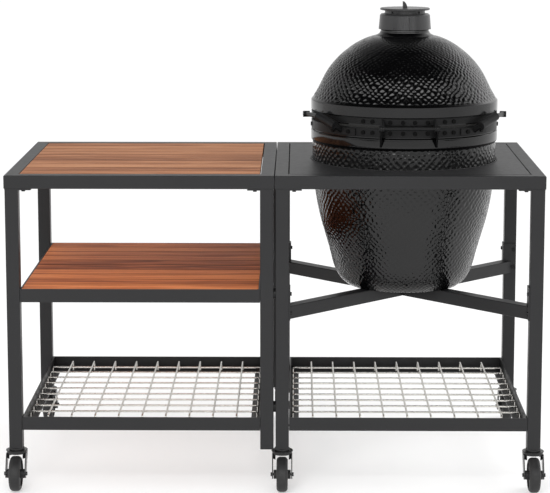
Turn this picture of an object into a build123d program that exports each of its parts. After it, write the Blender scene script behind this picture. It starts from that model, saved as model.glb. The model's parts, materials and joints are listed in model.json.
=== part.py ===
"""Outdoor kitchen: a prep table and a grill table on castors, with a ceramic egg grill.

Millimetres, +Z up, floor at Z = 0. X runs along the kitchen, with the seam between the two tables at X = 0.
The grill's hinge is on the -Y side, and its lid handle, thermometer and draft door are on the +Y side. The
grill is made about its own upright axis, with its heights measured from the tables' top face.
"""
from build123d import *
import math
import os

# Table modules
MODULE = 762.0           # outer width and depth of one table's top frame
MODULE_GAP = 2.0         # between the two top frames
TABLE_HEIGHT = 912.0     # floor to the top face
TUBE = 38.0              # square tube, outside
TUBE_WALL = 2.0
TUBE_CORNER = 2.5        # outside corner radius of the tube
LEG_INSET = 2.0          # leg face behind the top frame's face
LEG_PLUG = 10.0          # thickness of the plug that closes a leg's foot
FLANGE_REACH = 36.0      # corner flange at a leg's head, beyond the leg
FLANGE_THICK = 4.0
FLANGE_BOLT_OUT = 14.4   # flange bolt beyond the leg's face
LEDGE_WIDTH = 20.0       # ledge inside the top frame that carries the inserts
LEDGE_THICK = 3.0

# Wood and steel inserts of the tops
INSERT_SIDE_GAP = 3.0    # open line left and right of an insert
INSERT_END_GAP = 1.0     # between an insert and the front and back tubes
SLAT_COUNT = 10
SLAT_GAP = 1.6
SLAT_THICK = 19.0
SLAT_EDGE = 1.5          # rounded long edges of a slat
BATTEN_WIDTH = 60.0
BATTEN_AT = 250.0        # batten centre from the middle of its table
DECK_THICK = 3.0
DECK_HOLE_GAP = 5.0      # between the deck's round hole and the grill

# Shelf and racks
RAIL = 38.0              # height of the angle rails of the shelf and rack frames
RAIL_THICK = 4.0
RAIL_FOOT = 52.0         # foot of the front and back rails
SIDE_FOOT = 28.0         # foot of the side rails
FRAME_SIDE_GAP = 0.5     # between a shelf or rack frame and the legs
FRAME_FACE_INSET = 2.0   # behind the legs' front and back faces
SHELF_TOP = 586.0
RACK_TOP = 213.0
WOOD_GAP = 0.8           # between the shelf's wood and its frame
WIRE_R = 2.75
WIRE_DROP = 3.0          # top of the wires below the rack frame's top edge
WIRE_COUNT = 9           # wires each way
WIRE_STEP = 68.0
WIRE_END_GAP = 2.75      # turned-down end to the frame's side rail
WIRE_BEND = 6.0
WIRE_WELD = 1.0          # how deep crossing wires sink into each other

# Cross beams under the grill
BEAM_DROP = 376.0        # beams' top below the tables' top face
SADDLE_THICK = 4.0
SADDLE_WIDTH = 36.0      # width of a saddle's two faces on the leg
SADDLE_BOLT_IN = 30.5    # bolt from the leg's inner corner, clear of the beam
SADDLE_BELOW = 39.0      # saddle below and above the beams' top
SADDLE_ABOVE = 57.0
SADDLE_BOLT_EDGE = 20.0  # bolt to the saddle's lower or upper edge

# Fasteners
BOLT_R = 3.0
BOLT_HEAD_R = 5.5
BOLT_HEAD = 4.0
BOLT_CLEAR = 0.2         # bolt hole, per side
LINK_LOW = 242.0         # lower link's height
LINK_DROP = 340.0        # upper link below the top face
LINK_SPACER_R = 16.0
CUT = 1.0                # how far a cutter runs past a face

# Castors
CASTER_HEIGHT = 120.0
WHEEL_R = 50.0
WHEEL_WIDTH = 32.0
TYRE_THICK = 13.0
TYRE_ROUND = 11.0
CASTER_TRAIL = 30.0      # axle behind the swivel axis
FORK_WIDTH = 58.0
FORK_SHEET = 3.0
FORK_FLANGE_R = 31.0
FORK_CROWN = 104.0       # underside of the fork's crown
FORK_EYE_R = 13.0
FORK_BROW = 34.8         # cheek's width at the crown
FORK_FLANGE_ROUND = 1.2
SWIVEL_RACE_R = 22.0
SWIVEL_GAP = 0.4
RACE_THICK = 5.6
KING_PIN_R = 5.0
KING_HEAD = 5.0          # head below the crown, with its gap
AXLE_R = 4.0
RUNNING_CLEAR = 0.05     # shaft in its hole, per side
HUB_GAP = 1.5            # hub to fork cheek
HUB_HALF = 12.0          # half width of the hub's rim
ARCH_GAP = 3.0           # hood to the wheel's side

# Grill ceramics, radius and height from the tables' top face
FOOT_R = 165.0
# Outline of the base: share of the way from the foot's radius to the body's, and height above the foot
BASE_SHAPE = ((0.1792, 16.0), (0.4906, 96.0), (0.7642, 198.0), (0.9151, 279.0))
BODY_R = 271.0
LIP_OUT = 6.0            # lips beyond the body
STRAP_SEAT_OUT = 1.0     # strap seats beyond the body
LIP_EDGE = 5.0
BASE_LIP_DROP = 63.0     # base lip's lower edge below the parting line
BASE_LIP_HEIGHT = 30.0
SEAM = 124.0             # parting line between base and dome
GASKET = 3.0
GASKET_GAP = 0.3
DOME_LIP_RISE = 25.0     # dome lip's lower edge above the parting line
DOME_LIP_HEIGHT = 34.0
# Outline of the dome: share of the way from the neck's radius to the body's, and height above the seam
DOME_SHAPE = ((0.9552, 74.0), (0.8109, 130.0), (0.5224, 197.0), (0.1493, 239.0))
CERAMIC_WALL = 28.0
FLOOR_THICK = 28.0
NECK_R = 70.0
NECK_RISE = 246.0        # neck's foot above the parting line
NECK_HEIGHT = 38.0
NECK_WALL = 17.0

# Inside the grill
FIREBOX_GAP = 8.0        # between the firebox or fire ring and the base
FIREBOX_WALL = 22.0
FIREBOX_OVER = 5.0       # firebox top above the base's last curve point
FIREBOX_FLOOR = 26.0
GRATE_RISE = 84.0        # underside of the charcoal grate above the grill's foot
GRATE_IN = 77.0          # grate's edge inside the base's second outline point
GRATE_THICK = 10.0
RING_DROP = 76.0         # fire ring's top below the parting line
GRID_GAP = 12.0          # cooking grid to the ceramic
GRID_THICK = 9.0
SLOT_WIDTH = 12.0        # open slots of grate and grid
SLOT_STEP = 20.0
PLATE_RIM = 12.0         # solid rim of grate and grid
SEAT_GAP = 0.5

# Bands and hinge
STRAP_THICK = 3.6
STRAP_GAP = 0.2          # between a strap and the ceramic
LOWER_STRAP_AT = (-30.0, -4.0)    # lower and upper edge from the parting line
UPPER_STRAP_AT = (6.0, 23.5)
BEAD_BAND_AT = (28.0, 56.0)
BEAD_BAND_THICK = 2.8
BEAD_BAND_HALF = 60.0    # degrees to each side of the hinge
STRAP_SPLIT = 12.0       # gap in a strap opposite the hinge
STRAP_EAR = 16.0
HINGE_PLATE = 4.0
HINGE_REACH = 28.0       # pin axis beyond the lips
HINGE_PIN_R = 5.0
HINGE_EYE_R = 11.0
HINGE_PIN_HEAD_R = 8.8
HINGE_EAR_AT = 80.0      # middle of a lower ear from the middle of the hinge
HINGE_EAR_THICK = 5.0
HINGE_EAR_GAP = 1.0      # between lower and upper ears
HINGE_LOWER_DROP = 58.0  # foot of the lower ears below the parting line
BAND_BOLT_R = 3.0
BAND_BOLT_HEAD_R = 6.0
BAND_BOLT_HEAD = 3.5
HINGE_BOLT_AZIMUTHS = (-11.0, -3.5, 3.5, 11.0)        # band bolts, degrees from the hinge
SIDE_BOLT_AZIMUTHS = (-28.0, -22.0, 22.0, 28.0)
BRACKET_BOLT_AZIMUTHS = (-50.0, -38.0, 38.0, 50.0)
END_BOLT_AZIMUTHS = (-85.0, 85.0)

# Side brackets of the lower strap
BRACKET_PLATE_TURN = (33.0, 55.0)      # degrees from the hinge
BRACKET_PLATE_AT = (-27.0, -7.0)       # from the parting line
BRACKET_TUBE_R = 13.0
BRACKET_REACH = 23.0                   # middle of the tubes beyond the lips
BRACKET_START_TURN = 44.0              # degrees from the hinge
BRACKET_START_RISE = -2.0              # from the parting line
BRACKET_END_TURN = 59.0
BRACKET_END_RISE = 20.0
BRACKET_ARM_TURN = 83.0
BRACKET_ARM_RISE = 13.0
BRACKET_ARM_R = 6.5
BRACKET_STUB_R = 7.5
BRACKET_CAP_R = 9.0
BRACKET_CAP_REACH = 26.0

# Chimney cap and vent
CAP_SKIRT = 21.0         # cap down over the neck
CAP_HEIGHT = 45.0
CAP_R = 77.5
CAP_TAPER = 3.5
CAP_CHAMFER = 4.0
CAP_FIT = 0.6            # cap skirt around the neck
CAP_PLATE = 4.0
CAP_RIB = 5.0
CAP_RIB_AZIMUTH = 9.0    # degrees from the hinge, towards +X
VENT_COLLAR_R = 60.0
VENT_COLLAR_WALL = 3.0
VENT_DISC_R = 73.5
VENT_RISE = 11.0         # rain disc above the cap
VENT_DISC_THICK = 6.0
VENT_DISC_ROUND = 2.1
VENT_GAP = 0.4
VENT_PORTS = 6
VENT_PORT_ANGLE = 27.0
VENT_PORT_EDGE = 2.0     # metal left above and below a port
VENT_SPOKE = 12.0
VENT_HUB_R = 14.0
VENT_PIN_R = 4.0
FIN_HEIGHT = 19.0
FIN_BASE = 13.0          # fin along X at its foot
FIN_TIP = 4.0
FIN_LENGTH = 30.0
FIN_SLOPE_R = 26.6

# Lid handle
HANDLE_REACH = 68.0      # grip's axis beyond the lips
HANDLE_RISE = 30.0       # grip above the parting line
HANDLE_GRIP_R = 14.0
HANDLE_GRIP_LENGTH = 170.0
HANDLE_GRIP_ROUND = 4.9
HANDLE_GRIP_FIT = 0.3    # grip round its rod, per side
HANDLE_ROD_R = 5.0
HANDLE_ARM_THICK = 6.0
HANDLE_ARM_SINK = 20.0   # inner end of an arm inside the lip, before the lip cuts it
HANDLE_FOOT_ANGLE = 5.0  # half width of a bracket's foot, degrees

# Thermometer
DIAL_RISE = 114.0        # dial above the parting line
DIAL_R = 28.0
DIAL_DEPTH = 13.0
DIAL_WALL = 1.8
DIAL_GLASS = 2.0
DIAL_STEM_R = 3.5
DIAL_STEM = 85.0
DIAL_STEM_GAP = 1.0
NEEDLE_R = 0.8
NEEDLE_HUB_R = 3.0
NEEDLE_THICK = 0.8
NEEDLE_TAIL = 6.0
NEEDLE_REACH = 19.0
NEEDLE_REST = 135.0      # degrees anticlockwise from upright, as the cook sees it

# Draft door
DRAFT_WIDTH = 100.0
DRAFT_RISE = 56.0        # opening above the grill's foot
DRAFT_HEIGHT = 50.0
COLLAR_OUT = 9.0         # flat ceramic face beyond the base's second outline point
COLLAR_BORDER = 22.0     # collar left and right of the opening
COLLAR_EDGE = 17.6       # collar above and below the opening
TRACK_PLATE = 2.0
TRACK_DEPTH = 9.0
TRACK_RAIL = 7.0
TRACK_GROOVE = 2.6
TRACK_GROOVE_DEPTH = 4.0
DOOR_THICK = 2.0
DOOR_OVERLAP = 4.0       # door wider than the draft opening, per side
DOOR_KNOB_R = 7.0
DOOR_KNOB = 12.0
DOOR_KNOB_ROUND = 2.1
MESH_HOLE = 6.0
MESH_STEP = 8.5

# Worked out from the sizes above
MODULE_X = (MODULE + MODULE_GAP) / 2
FRAME_BOTTOM = TABLE_HEIGHT - TUBE
LEG_AT = MODULE / 2 - LEG_INSET - TUBE / 2
LEG_INNER = LEG_AT - TUBE / 2
OPENING = MODULE - 2 * TUBE
BOLT_HOLE_R = BOLT_R + BOLT_CLEAR
RACE_BOTTOM = CASTER_HEIGHT - RACE_THICK
WIRE_REACH = LEG_INNER - FRAME_SIDE_GAP - RAIL_THICK - WIRE_END_GAP - WIRE_R
BEAM_TOP = TABLE_HEIGHT - BEAM_DROP
LINK_HEIGHTS = (LINK_LOW, TABLE_HEIGHT - LINK_DROP)
SADDLE_BOTTOM = BEAM_TOP - SADDLE_BELOW
SADDLE_TOP = BEAM_TOP + SADDLE_ABOVE
DECK_LEVEL = 0.0         # the grill's heights start at the tables' top face
FOOT_LEVEL = DECK_LEVEL - BEAM_DROP
BASE_LIP_BOTTOM = SEAM - BASE_LIP_DROP
BASE_LIP_TOP = BASE_LIP_BOTTOM + BASE_LIP_HEIGHT
DOME_LIP_BOTTOM = SEAM + DOME_LIP_RISE
DOME_LIP_TOP = DOME_LIP_BOTTOM + DOME_LIP_HEIGHT
BASE_CURVE = tuple((FOOT_R + (BODY_R - FOOT_R) * share, FOOT_LEVEL + rise) for share, rise in BASE_SHAPE)
DOME_CURVE = tuple((NECK_R + (BODY_R - NECK_R) * share, SEAM + rise) for share, rise in DOME_SHAPE)
LIP_R = BODY_R + LIP_OUT
STRAP_SEAT_R = BODY_R + STRAP_SEAT_OUT
GRATE_R = BASE_CURVE[1][0] - GRATE_IN
GRID_R = BODY_R - CERAMIC_WALL - GRID_GAP
HINGE_OUT = LIP_R + HINGE_REACH
BRACKET_R = LIP_R + BRACKET_REACH
BRACKET_CAP_OUT = LIP_R + BRACKET_CAP_REACH
HANDLE_OUT = LIP_R + HANDLE_REACH
HANDLE_ARM_IN = LIP_R - HANDLE_ARM_SINK
COLLAR_FACE = BASE_CURVE[1][0] + COLLAR_OUT
CUT_REACH = 2 * BODY_R   # beyond the whole grill, for cutting wedges
NECK_FOOT = SEAM + NECK_RISE
NECK_TOP = NECK_FOOT + NECK_HEIGHT
FIREBOX_TOP = BASE_CURVE[-1][1] + FIREBOX_OVER
GRATE_LEVEL = FOOT_LEVEL + GRATE_RISE
RING_TOP = SEAM - RING_DROP
LOWER_STRAP = (SEAM + LOWER_STRAP_AT[0], SEAM + LOWER_STRAP_AT[1])
UPPER_STRAP = (SEAM + UPPER_STRAP_AT[0], SEAM + UPPER_STRAP_AT[1])
BEAD_BAND = (SEAM + BEAD_BAND_AT[0], SEAM + BEAD_BAND_AT[1])
HINGE_LOWER_BOTTOM = SEAM - HINGE_LOWER_DROP
BRACKET_PLATE_Z = (SEAM + BRACKET_PLATE_AT[0], SEAM + BRACKET_PLATE_AT[1])
CAP_FOOT = NECK_TOP - CAP_SKIRT
CAP_TOP = CAP_FOOT + CAP_HEIGHT
VENT_DISC_BOTTOM = CAP_TOP + VENT_RISE
HANDLE_HEIGHT = SEAM + HANDLE_RISE
DIAL_HEIGHT = SEAM + DIAL_RISE
DRAFT_BOTTOM = FOOT_LEVEL + DRAFT_RISE
DRAFT_TOP = DRAFT_BOTTOM + DRAFT_HEIGHT
CORNERS = ((-1, -1), (1, -1), (-1, 1), (1, 1))


def block(x, y, z):
    """Box between two X, two Y and two Z values."""
    centre = Pos((x[0] + x[1]) / 2, (y[0] + y[1]) / 2, (z[0] + z[1]) / 2)
    return centre * Box(x[1] - x[0], y[1] - y[0], z[1] - z[0])


def rod(start, end, radius):
    """Round rod from one point to another."""
    direction = Vector(end) - Vector(start)
    frame = Plane(origin=Vector(start), z_dir=direction).location
    return frame * Cylinder(radius, direction.length, align=(Align.CENTER, Align.CENTER, Align.MIN))


def disc(radius, bottom, top):
    """Upright cylinder on the Z axis."""
    return rod((0, 0, bottom), (0, 0, top), radius)


def ring(outer, inner, bottom, top):
    """Upright ring about the Z axis."""
    return disc(outer, bottom, top) - disc(inner, bottom - CUT, top + CUT)


def turned(*edges):
    """Solid turned about the Z axis from a closed chain of edges in the XZ plane."""
    return revolve(make_face(edges), axis=Axis.Z)


def rz(radius, height):
    """Point of a turned outline."""
    return (radius, 0, height)


def around(azimuth, radius, height):
    """Point about the grill's axis, with the azimuth in degrees from -Y towards +X."""
    angle = math.radians(azimuth)
    return (radius * math.sin(angle), -radius * math.cos(angle), height)


def wedge(start, end, radius, bottom, top):
    """Upright wedge about the Z axis between two azimuths, out to at least the radius."""
    middle = (start + end) / 2
    reach = radius / math.cos(math.radians((end - start) / 2))
    points = [(0, 0)] + [around(a, reach, 0)[:2] for a in (start, middle, end)]
    return Pos(0, 0, bottom) * extrude(make_face(Polyline(*points, close=True)), top - bottom)


def bolt(seat, direction, length, radius=BOLT_R, head_r=BOLT_HEAD_R, head=BOLT_HEAD):
    """Bolt whose head sits on a point, with the shank running along a direction."""
    way = Vector(direction).normalized()
    start = Vector(seat)
    return rod(start - way * head, start, head_r) + rod(start, start + way * length, radius)


def drilled(body, holes):
    """Body with a list of holes cut in it."""
    for hole in holes:
        body = body - hole
    return body


def bolt_holes(places):
    """Cutters for bolts at a list of seats, directions and shank lengths."""
    return [rod(seat, Vector(*seat) + Vector(*way) * length, BOLT_HOLE_R) for seat, way, length in places]


# Table frames

def tube_section():
    """Square tube with its outer corner at the sketch origin."""
    middle = Pos(TUBE / 2, TUBE / 2)
    bore = TUBE - 2 * TUBE_WALL
    inside = RectangleRounded(bore, bore, TUBE_CORNER - TUBE_WALL)
    return middle * (RectangleRounded(TUBE, TUBE, TUBE_CORNER) - inside)


def mitred_frame(section, reach, width, depth, bottom):
    """Four lengths of a section, mitred at the corners, as separate solids."""
    pieces = []
    sides = ((0, width, depth), (90, depth, width), (180, width, depth), (270, depth, width))
    for turn, length, across in sides:
        plane = Plane(origin=(-length / 2, 0, 0), x_dir=(0, 1, 0), z_dir=(1, 0, 0))
        bar = extrude(plane * section, length)
        half = length / 2
        outline = Polyline((-half, 0), (half, 0), (half - reach, reach), (-half + reach, reach), close=True)
        mitre = extrude(make_face(outline), reach + TUBE)
        pieces.append(Rot(0, 0, turn) * Pos(0, -across / 2, bottom) * (bar & mitre))
    return pieces


def flange_bolt_places():
    """Bolt places in a leg's head flange, for the leg in the +X +Y corner, from the leg's middle."""
    out = TUBE / 2 + FLANGE_BOLT_OUT
    return ((-out, TUBE / 4), (TUBE / 4, -out))


def top_frame():
    """Mitred tubes and the two ledges that carry the insert, drilled for the leg bolts."""
    pieces = mitred_frame(tube_section(), TUBE, MODULE, MODULE, FRAME_BOTTOM)
    holes = []
    for sx, sy in CORNERS:
        for px, py in flange_bolt_places():
            at = (sx * (LEG_AT + px), sy * (LEG_AT + py))
            holes.append(rod((*at, FRAME_BOTTOM - CUT), (*at, FRAME_BOTTOM + TUBE / 2), BOLT_HOLE_R))
    pieces = [drilled(piece, holes) for piece in pieces]
    for side in (-1, 1):
        inner = side * OPENING / 2
        edges = sorted((inner, inner - side * LEDGE_WIDTH))
        ledge = block((-OPENING / 2, OPENING / 2), edges, (FRAME_BOTTOM, FRAME_BOTTOM + LEDGE_THICK))
        pieces.append(ledge)
    return pieces


def leg(sx, sy, has_caster, cross_holes):
    """Square tube leg with a plugged foot and a three-cornered head flange, drilled where it is bolted."""
    length = FRAME_BOTTOM - FLANGE_THICK - CASTER_HEIGHT
    tube = Pos(-TUBE / 2, -TUBE / 2, CASTER_HEIGHT) * extrude(tube_section(), length)
    bore = TUBE - 2 * TUBE_WALL
    plug = Pos(0, 0, CASTER_HEIGHT + LEG_PLUG / 2) * Box(bore, bore, LEG_PLUG)
    half = TUBE / 2
    far = -half - FLANGE_REACH
    outline = Polyline((half, half), (far, half), (far, 0), (0, far), (half, far), close=True)
    flange = Pos(0, 0, FRAME_BOTTOM - FLANGE_THICK) * extrude(make_face(outline), FLANGE_THICK)
    body = tube + plug + flange
    for px, py in flange_bolt_places():
        body = body - rod((px, py, FRAME_BOTTOM - TUBE), (px, py, FRAME_BOTTOM + CUT), BOLT_HOLE_R)
    if has_caster:
        foot = (CASTER_HEIGHT - CUT, CASTER_HEIGHT + LEG_PLUG + CUT)
        body = body - disc(KING_PIN_R + RUNNING_CLEAR, *foot)
    if sx < 0:
        body = mirror(body, Plane.YZ)
    if sy < 0:
        body = mirror(body, Plane.XZ)
    body = Pos(sx * LEG_AT, sy * LEG_AT, 0) * body
    for start, end in cross_holes:
        body = body - rod(start, end, BOLT_HOLE_R)
    return body


def angle_frame(top):
    """Shelf or rack frame of angle rails: front and back run through, and the sides butt between them."""
    half_x = LEG_INNER - FRAME_SIDE_GAP
    half_y = LEG_AT + TUBE / 2 - FRAME_FACE_INSET
    bottom = top - RAIL
    rails = []
    for side in (-1, 1):
        face = side * half_y
        upright = block((-half_x, half_x), sorted((face, face - side * RAIL_THICK)), (bottom, top))
        foot_y = sorted((face, face - side * RAIL_FOOT))
        foot = block((-half_x, half_x), foot_y, (bottom, bottom + RAIL_THICK))
        rails.append(upright + foot)
    for side in (-1, 1):
        face = side * half_x
        reach = half_y - RAIL_THICK
        foot_reach = half_y - RAIL_FOOT
        upright = block(sorted((face, face - side * RAIL_THICK)), (-reach, reach), (bottom, top))
        foot_x = sorted((face, face - side * SIDE_FOOT))
        foot_z = (bottom, bottom + RAIL_THICK)
        foot = block(foot_x, (-foot_reach, foot_reach), foot_z)
        notch_low = block(foot_x, (-half_y, -foot_reach), foot_z)
        notch_high = mirror(notch_low, Plane.XZ)
        rails.append(upright + foot - notch_low - notch_high)
    holes = bolt_holes(frame_bolt_places(top))
    return [drilled(rail, holes) for rail in rails]


def frame_bolt_places(top):
    """Bolts through a shelf or rack frame's side rails into the legs: seat, direction and shank length."""
    seat_x = LEG_INNER - FRAME_SIDE_GAP - RAIL_THICK
    height = top - SLAT_THICK - (RAIL - RAIL_THICK - SLAT_THICK) / 2
    length = RAIL_THICK + FRAME_SIDE_GAP + TUBE_WALL + BOLT_HEAD
    return [((sx * seat_x, sy * LEG_AT, height), (sx, 0, 0), length) for sx, sy in CORNERS]


def slats(width, depth, top):
    """Row of slats along X with rounded upper edges."""
    step = (depth + SLAT_GAP) / SLAT_COUNT
    board = Pos(0, 0, top - SLAT_THICK / 2) * Box(width, step - SLAT_GAP, SLAT_THICK)
    edges = board.edges().filter_by(Axis.X).group_by(Axis.Z)[-1]
    board = fillet(edges, SLAT_EDGE)
    first = -(SLAT_COUNT - 1) / 2
    return [Pos(0, (first + i) * step, 0) * board for i in range(SLAT_COUNT)]


def battens(depth, bottom, top):
    """Two battens along Y that tie the slats together from below."""
    half = BATTEN_WIDTH / 2
    across = (-depth / 2, depth / 2)
    return [block((x - half, x + half), across, (bottom, top)) for x in (-BATTEN_AT, BATTEN_AT)]


def prep_top():
    """Slats and battens of the prep table's top insert."""
    width = OPENING - 2 * INSERT_SIDE_GAP
    depth = OPENING - 2 * INSERT_END_GAP
    ledge = FRAME_BOTTOM + LEDGE_THICK
    return slats(width, depth, TABLE_HEIGHT), battens(depth, ledge, TABLE_HEIGHT - SLAT_THICK)


def prep_shelf():
    """Slats and battens of the prep table's shelf."""
    width = 2 * (LEG_INNER - FRAME_SIDE_GAP - RAIL_THICK - WOOD_GAP)
    depth = 2 * (LEG_AT + TUBE / 2 - FRAME_FACE_INSET - RAIL_THICK - WOOD_GAP)
    foot = SHELF_TOP - RAIL + RAIL_THICK
    return slats(width, depth, SHELF_TOP), battens(depth, foot, SHELF_TOP - SLAT_THICK)


def deck_plate():
    """Folded steel deck with a round hole for the grill and a skirt that stands on the ledges."""
    half_x = OPENING / 2 - INSERT_SIDE_GAP
    half_y = OPENING / 2 - INSERT_END_GAP
    bottom = FRAME_BOTTOM + LEDGE_THICK
    shell = block((-half_x, half_x), (-half_y, half_y), (bottom, TABLE_HEIGHT))
    inner_x = (-half_x + DECK_THICK, half_x - DECK_THICK)
    inner_y = (-half_y + DECK_THICK, half_y - DECK_THICK)
    hollow = block(inner_x, inner_y, (bottom - CUT, TABLE_HEIGHT - DECK_THICK))
    return shell - hollow - disc(BODY_R + DECK_HOLE_GAP, bottom, TABLE_HEIGHT + CUT)


def wire_rack():
    """Welded wire rack whose wires turn down at both ends and stand on the frame's feet."""
    row_axis = RACK_TOP - WIRE_DROP - 3 * WIRE_R + WIRE_WELD
    foot = RACK_TOP - RAIL + RAIL_THICK

    def wire(level):
        start = (-WIRE_REACH, 0, foot)
        points = (start, (-WIRE_REACH, 0, level), (WIRE_REACH, 0, level), (WIRE_REACH, 0, foot))
        return sweep(Pos(*start) * Circle(WIRE_R), path=FilletPolyline(*points, radius=WIRE_BEND))

    row = wire(row_axis)
    column = Rot(0, 0, 90) * wire(row_axis + 2 * WIRE_R - WIRE_WELD)
    first = -(WIRE_COUNT - 1) / 2
    places = [(first + i) * WIRE_STEP for i in range(WIRE_COUNT)]
    wires = [Pos(0, y, 0) * row for y in places] + [Pos(x, 0, 0) * column for x in places]
    return wires[0].fuse(*wires[1:])


# Cross beams under the grill

def saddle_bolt_places():
    """Bolts through the saddles into the grill legs: seat, direction and shank length."""
    places = []
    length = SADDLE_THICK + TUBE_WALL + BOLT_HEAD
    seat = LEG_INNER - SADDLE_THICK
    for sx, sy in CORNERS:
        for height in (SADDLE_BOTTOM + SADDLE_BOLT_EDGE, SADDLE_TOP - SADDLE_BOLT_EDGE):
            along = LEG_INNER + SADDLE_BOLT_IN
            places.append(((sx * seat, sy * along, height), (sx, 0, 0), length))
            places.append(((sx * along, sy * seat, height), (0, sy, 0), length))
    return places


def saddle(sx, sy):
    """Angle plate that hugs a leg's inner corner."""
    outer = LEG_INNER - SADDLE_THICK
    span = sorted((sx * outer, sx * (LEG_INNER + SADDLE_WIDTH)))
    across = sorted((sy * outer, sy * (LEG_INNER + SADDLE_WIDTH)))
    plate = block(span, across, (SADDLE_BOTTOM, SADDLE_TOP))
    return plate - corner_block(sx, sy, LEG_INNER)


def corner_block(sx, sy, start):
    """Upright block that fills a corner of the table from a distance outwards, for cutting."""
    far = LEG_INNER + 2 * TUBE
    return block(sorted((sx * start, sx * far)), sorted((sy * start, sy * far)), (0, TABLE_HEIGHT))


def beam_tube(start, end):
    """Square tube between two points at the beams' height."""
    way = (Vector(*end) - Vector(*start)).normalized()
    side = Vector(-way.Y, way.X, 0)
    origin = Vector(*start) + Vector(0, 0, BEAM_TOP - TUBE) - side * (TUBE / 2)
    length = (Vector(*end) - Vector(*start)).length
    return extrude(Plane(origin=origin, x_dir=side, z_dir=way) * tube_section(), length)


def cross_beams():
    """One long and two short beams that cross under the grill, each welded to its saddles."""
    far = LEG_INNER + TUBE
    notches = {corner: corner_block(*corner, LEG_INNER - SADDLE_THICK) for corner in CORNERS}
    long_beam = beam_tube((-far, -far), (far, far)) - notches[-1, -1] - notches[1, 1]
    long_beam = long_beam + saddle(-1, -1) + saddle(1, 1)
    step = TUBE / 2 / math.sqrt(2)
    front = beam_tube((step, -step), (far, -far)) - notches[1, -1] + saddle(1, -1)
    rear = beam_tube((-step, step), (-far, far)) - notches[-1, 1] + saddle(-1, 1)
    holes = bolt_holes(saddle_bolt_places())
    return [drilled(beam, holes) for beam in (long_beam, front, rear)]


# Bolts of the tables

def bolts(places):
    """Bolts at a list of seats, directions and shank lengths."""
    return [bolt(seat, way, length) for seat, way, length in places]


def flange_bolts():
    """Bolts that hold the legs' head flanges to a top frame."""
    length = FLANGE_THICK + TUBE_WALL + BOLT_HEAD
    places = []
    for sx, sy in CORNERS:
        for px, py in flange_bolt_places():
            seat = (sx * (LEG_AT + px), sy * (LEG_AT + py), FRAME_BOTTOM - FLANGE_THICK)
            places.append((seat, (0, 0, 1), length))
    return bolts(places)


def link_places():
    """Studs that tie the tables through the facing walls of neighbouring legs, in the kitchen's frame."""
    half = MODULE_X - LEG_AT - TUBE / 2 + TUBE_WALL
    return [((-half, sy * LEG_AT, z), (half, sy * LEG_AT, z)) for sy in (-1, 1) for z in LINK_HEIGHTS]


def link_spacers():
    """Spacer discs between the neighbouring legs."""
    half = MODULE_X - LEG_AT - TUBE / 2
    discs = []
    for (_, y, z), _ in link_places():
        spacer = rod((-half, y, z), (half, y, z), LINK_SPACER_R)
        discs.append(spacer - rod((-TUBE, y, z), (TUBE, y, z), BOLT_HOLE_R))
    return discs


def link_bolts():
    """Studs with a head inside one leg and a nut inside the other."""
    made = []
    for start, end in link_places():
        way = (Vector(*end) - Vector(*start)).normalized()
        shank = (Vector(*end) - Vector(*start)).length
        made.append(bolt(start, way, shank) + rod(end, Vector(*end) + way * BOLT_HEAD, BOLT_HEAD_R))
    return made


def legs(module_side, has_saddles, has_shelf, caster_sides):
    """Four legs of one table, drilled for its frames, saddles and links."""
    places = list(frame_bolt_places(RACK_TOP))
    if has_shelf:
        places += frame_bolt_places(SHELF_TOP)
    if has_saddles:
        places += saddle_bolt_places()
    holes = [(seat, Vector(*seat) + Vector(*way) * length) for seat, way, length in places]
    shift = Vector(-module_side * MODULE_X, 0, 0)
    holes += [(Vector(*start) + shift, Vector(*end) + shift) for start, end in link_places()]
    return [leg(sx, sy, sx in caster_sides, holes) for sx, sy in CORNERS]


# Castors, about a swivel axis at X = Y = 0 with the wheel trailing towards -Y

def caster_stem():
    """Fixed race, king pin and stem of a castor, with its nut inside the leg."""
    race = disc(SWIVEL_RACE_R, RACE_BOTTOM, CASTER_HEIGHT)
    nut = disc(2 * KING_PIN_R, CASTER_HEIGHT + LEG_PLUG, CASTER_HEIGHT + 2 * LEG_PLUG)
    pin = disc(KING_PIN_R, FORK_CROWN - KING_HEAD, CASTER_HEIGHT + 2 * LEG_PLUG)
    head = disc(2 * KING_PIN_R, FORK_CROWN - KING_HEAD, FORK_CROWN - SWIVEL_GAP)
    return race + nut + pin + head


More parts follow.
